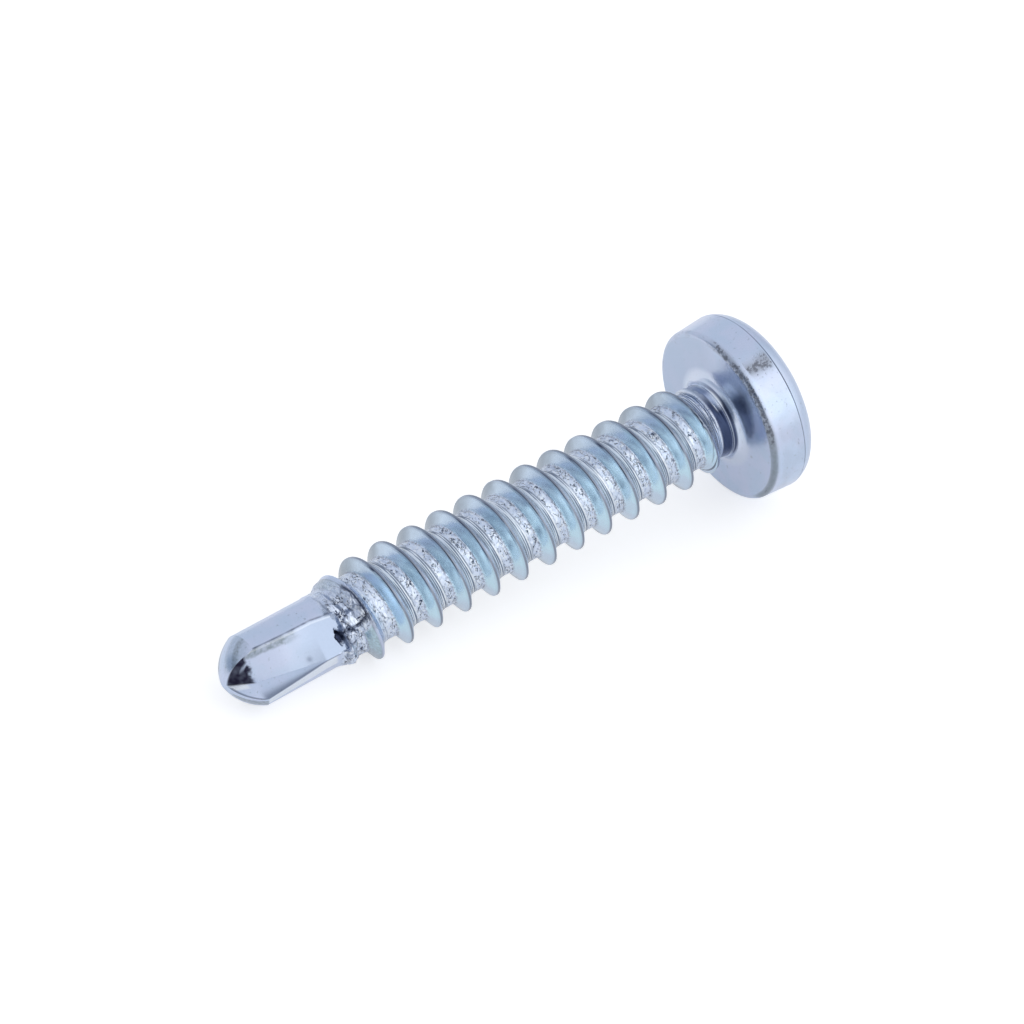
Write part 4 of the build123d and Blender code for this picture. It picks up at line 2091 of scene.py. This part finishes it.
@dataclass
class Studio:
    """Pale floor, soft light and the camera."""

    camera_place: Colour = (-0.0552913, -0.0787922, 0.0834273)
    camera_turn: Colour = (50.3914, -0.0488, -35.1328)
    lens: float = 108.608
    sensor: float = 36.0
    nearest: float = 0.001
    floor_half: float = 0.25
    floor_colour: Colour = (0.64, 0.64, 0.64)
    floor_roughness: float = 0.9
    floor_seen: float = 0.62
    floor_mirrored: float = 0.40
    front: Colour = (-0.576, -0.817, 0.0)
    right: Colour = (0.817, -0.576, 0.0)
    white: Colour = (1.0, 1.0, 1.0)
    room: Colour = (0.73, 0.76, 0.82)
    patches: tuple[RoomPatch, ...] = (
        RoomPatch(62.0, 12.0, 0.1, 0.8, (1.10, 1.11, 1.12)),
        RoomPatch(-84.0, 2.0, 0.86, 0.97, (0.42, 0.48, 0.57)),
        RoomPatch(-22.0, 28.0, 0.72, 0.96, (0.14, 0.17, 0.23)),
    )
    boxes: tuple[SoftBox, ...] = (SoftBox("key", 56.0, 38.0, 0.22, 0.20, 0.24),)

    def add_camera(self) -> None:
        """Adds the camera, looking down at the screw from the side of its point."""
        data = bpy.data.cameras.new("camera")
        data.lens = self.lens
        data.sensor_width = self.sensor
        data.clip_start = self.nearest
        camera = bpy.data.objects.new("camera", data)
        camera.location = self.camera_place
        camera.rotation_euler = Euler([radians(angle) for angle in self.camera_turn])
        bpy.context.scene.collection.objects.link(camera)
        bpy.context.scene.camera = camera

    def add_floor(self) -> None:
        """Adds the floor."""
        corners = [(-1, -1), (1, -1), (1, 1), (-1, 1)]
        mesh = bpy.data.meshes.new("floor")
        mesh.from_pydata(
            [(x * self.floor_half, y * self.floor_half, 0) for x, y in corners], [], [range(4)]
        )
        floor = bpy.data.objects.new("floor", mesh)
        bpy.context.scene.collection.objects.link(floor)
        material = bpy.data.materials.new("floor_white")
        material.use_nodes = True
        web = NodeWeb(material.node_tree)
        path = web.add("LightPath").outputs
        seen = web.times(path["Is Camera Ray"], self.floor_seen)
        settings = {
            "Base Color": self.floor_colour,
            "Roughness": self.floor_roughness,
            "Specular IOR Level": 0.0,
            "Emission Color": self.white,
            "Emission Strength": web.math(
                "MULTIPLY_ADD", path["Is Glossy Ray"], self.floor_mirrored, seen
            ),
        }
        shader = material.node_tree.nodes["Principled BSDF"]
        for name, value in settings.items():
            web.put(shader.inputs[name], value)
        mesh.materials.append(material)

    def direction(self, turn: float, rise: float) -> np.ndarray:
        """A direction in the room, from the screw.

        Args:
            turn: Degrees from the camera's side, to its right.
            rise: Degrees over the floor.

        Returns:
            The unit vector.
        """
        front, right = np.array(self.front), np.array(self.right)
        level = front * cos(radians(turn)) + right * sin(radians(turn))
        return level * cos(radians(rise)) + np.array([0.0, 0.0, sin(radians(rise))])

    def add_world(self) -> None:
        """Adds the room: pale, dim towards the camera and its left."""
        world = bpy.data.worlds.new("room")
        bpy.context.scene.world = world
        world.use_nodes = True
        web = NodeWeb(world.node_tree)
        way = web.add("TexCoord").outputs["Generated"]
        colour: Value = self.room
        for patch in self.patches:
            centre = tuple(self.direction(patch.turn, patch.rise))
            near = web.vector("DOT_PRODUCT", way, centre)
            colour = web.mix(web.ramp(near, patch.start, patch.full), colour, patch.colour)
        seen = web.add("LightPath").outputs["Is Camera Ray"]
        background = world.node_tree.nodes["Background"]
        web.put(background.inputs["Color"], web.mix(seen, colour, self.white))
        web.put(background.inputs["Strength"], 1.0)

    def add_lamps(self) -> None:
        """Adds the soft boxes, facing the screw."""
        for box in self.boxes:
            data = bpy.data.lights.new(box.name, "AREA")
            data.shape = "SQUARE"
            data.size = box.size
            data.energy = box.glow * pi * box.size**2
            lamp = bpy.data.objects.new(box.name, data)
            away = Vector(self.direction(box.turn, box.rise))
            lamp.location = away * box.distance
            lamp.rotation_euler = away.to_track_quat("Z", "Y").to_euler()
            lamp.visible_camera = False
            bpy.context.scene.collection.objects.link(lamp)

    def build(self) -> None:
        """Adds everything that is not the screw, and shows colours as they are."""
        self.add_camera()
        self.add_floor()
        self.add_world()
        self.add_lamps()
        bpy.context.scene.view_settings.view_transform = "Standard"


def main() -> None:
    """Builds the screw from its tip up and then its studio, and reports each piece."""
    logging.basicConfig(level=logging.INFO, format="%(name)s: %(message)s")
    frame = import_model()
    skin = Skin()
    drill = DrillPoint()
    shank = Shank(drill)
    head = PanHead()
    ring = drill.add_to(skin)
    log.info("DrillPoint: %d points", skin.count)
    for part in (TornStart(shank), RolledThread(shank), Neck(shank, head), head):
        before = skin.count
        ring = part.add_to(skin, ring)
        log.info("%s: %d points", type(part).__name__, skin.count - before)
    screw = skin.to_object("screw_skin", ScrewAxes.from_record(frame["record"], RESTING_TURN))
    screw.data.materials.append(ZincFinish().build(Effects.build()))
    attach(screw, "root")
    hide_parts("drilling_screw")
    log.info("%s: %d faces", screw.name, len(screw.data.polygons))
    studio = Studio()
    studio.build()
    log.info("studio: floor, room, camera and %d soft box", len(studio.boxes))


if __name__ == "__main__":
    main()
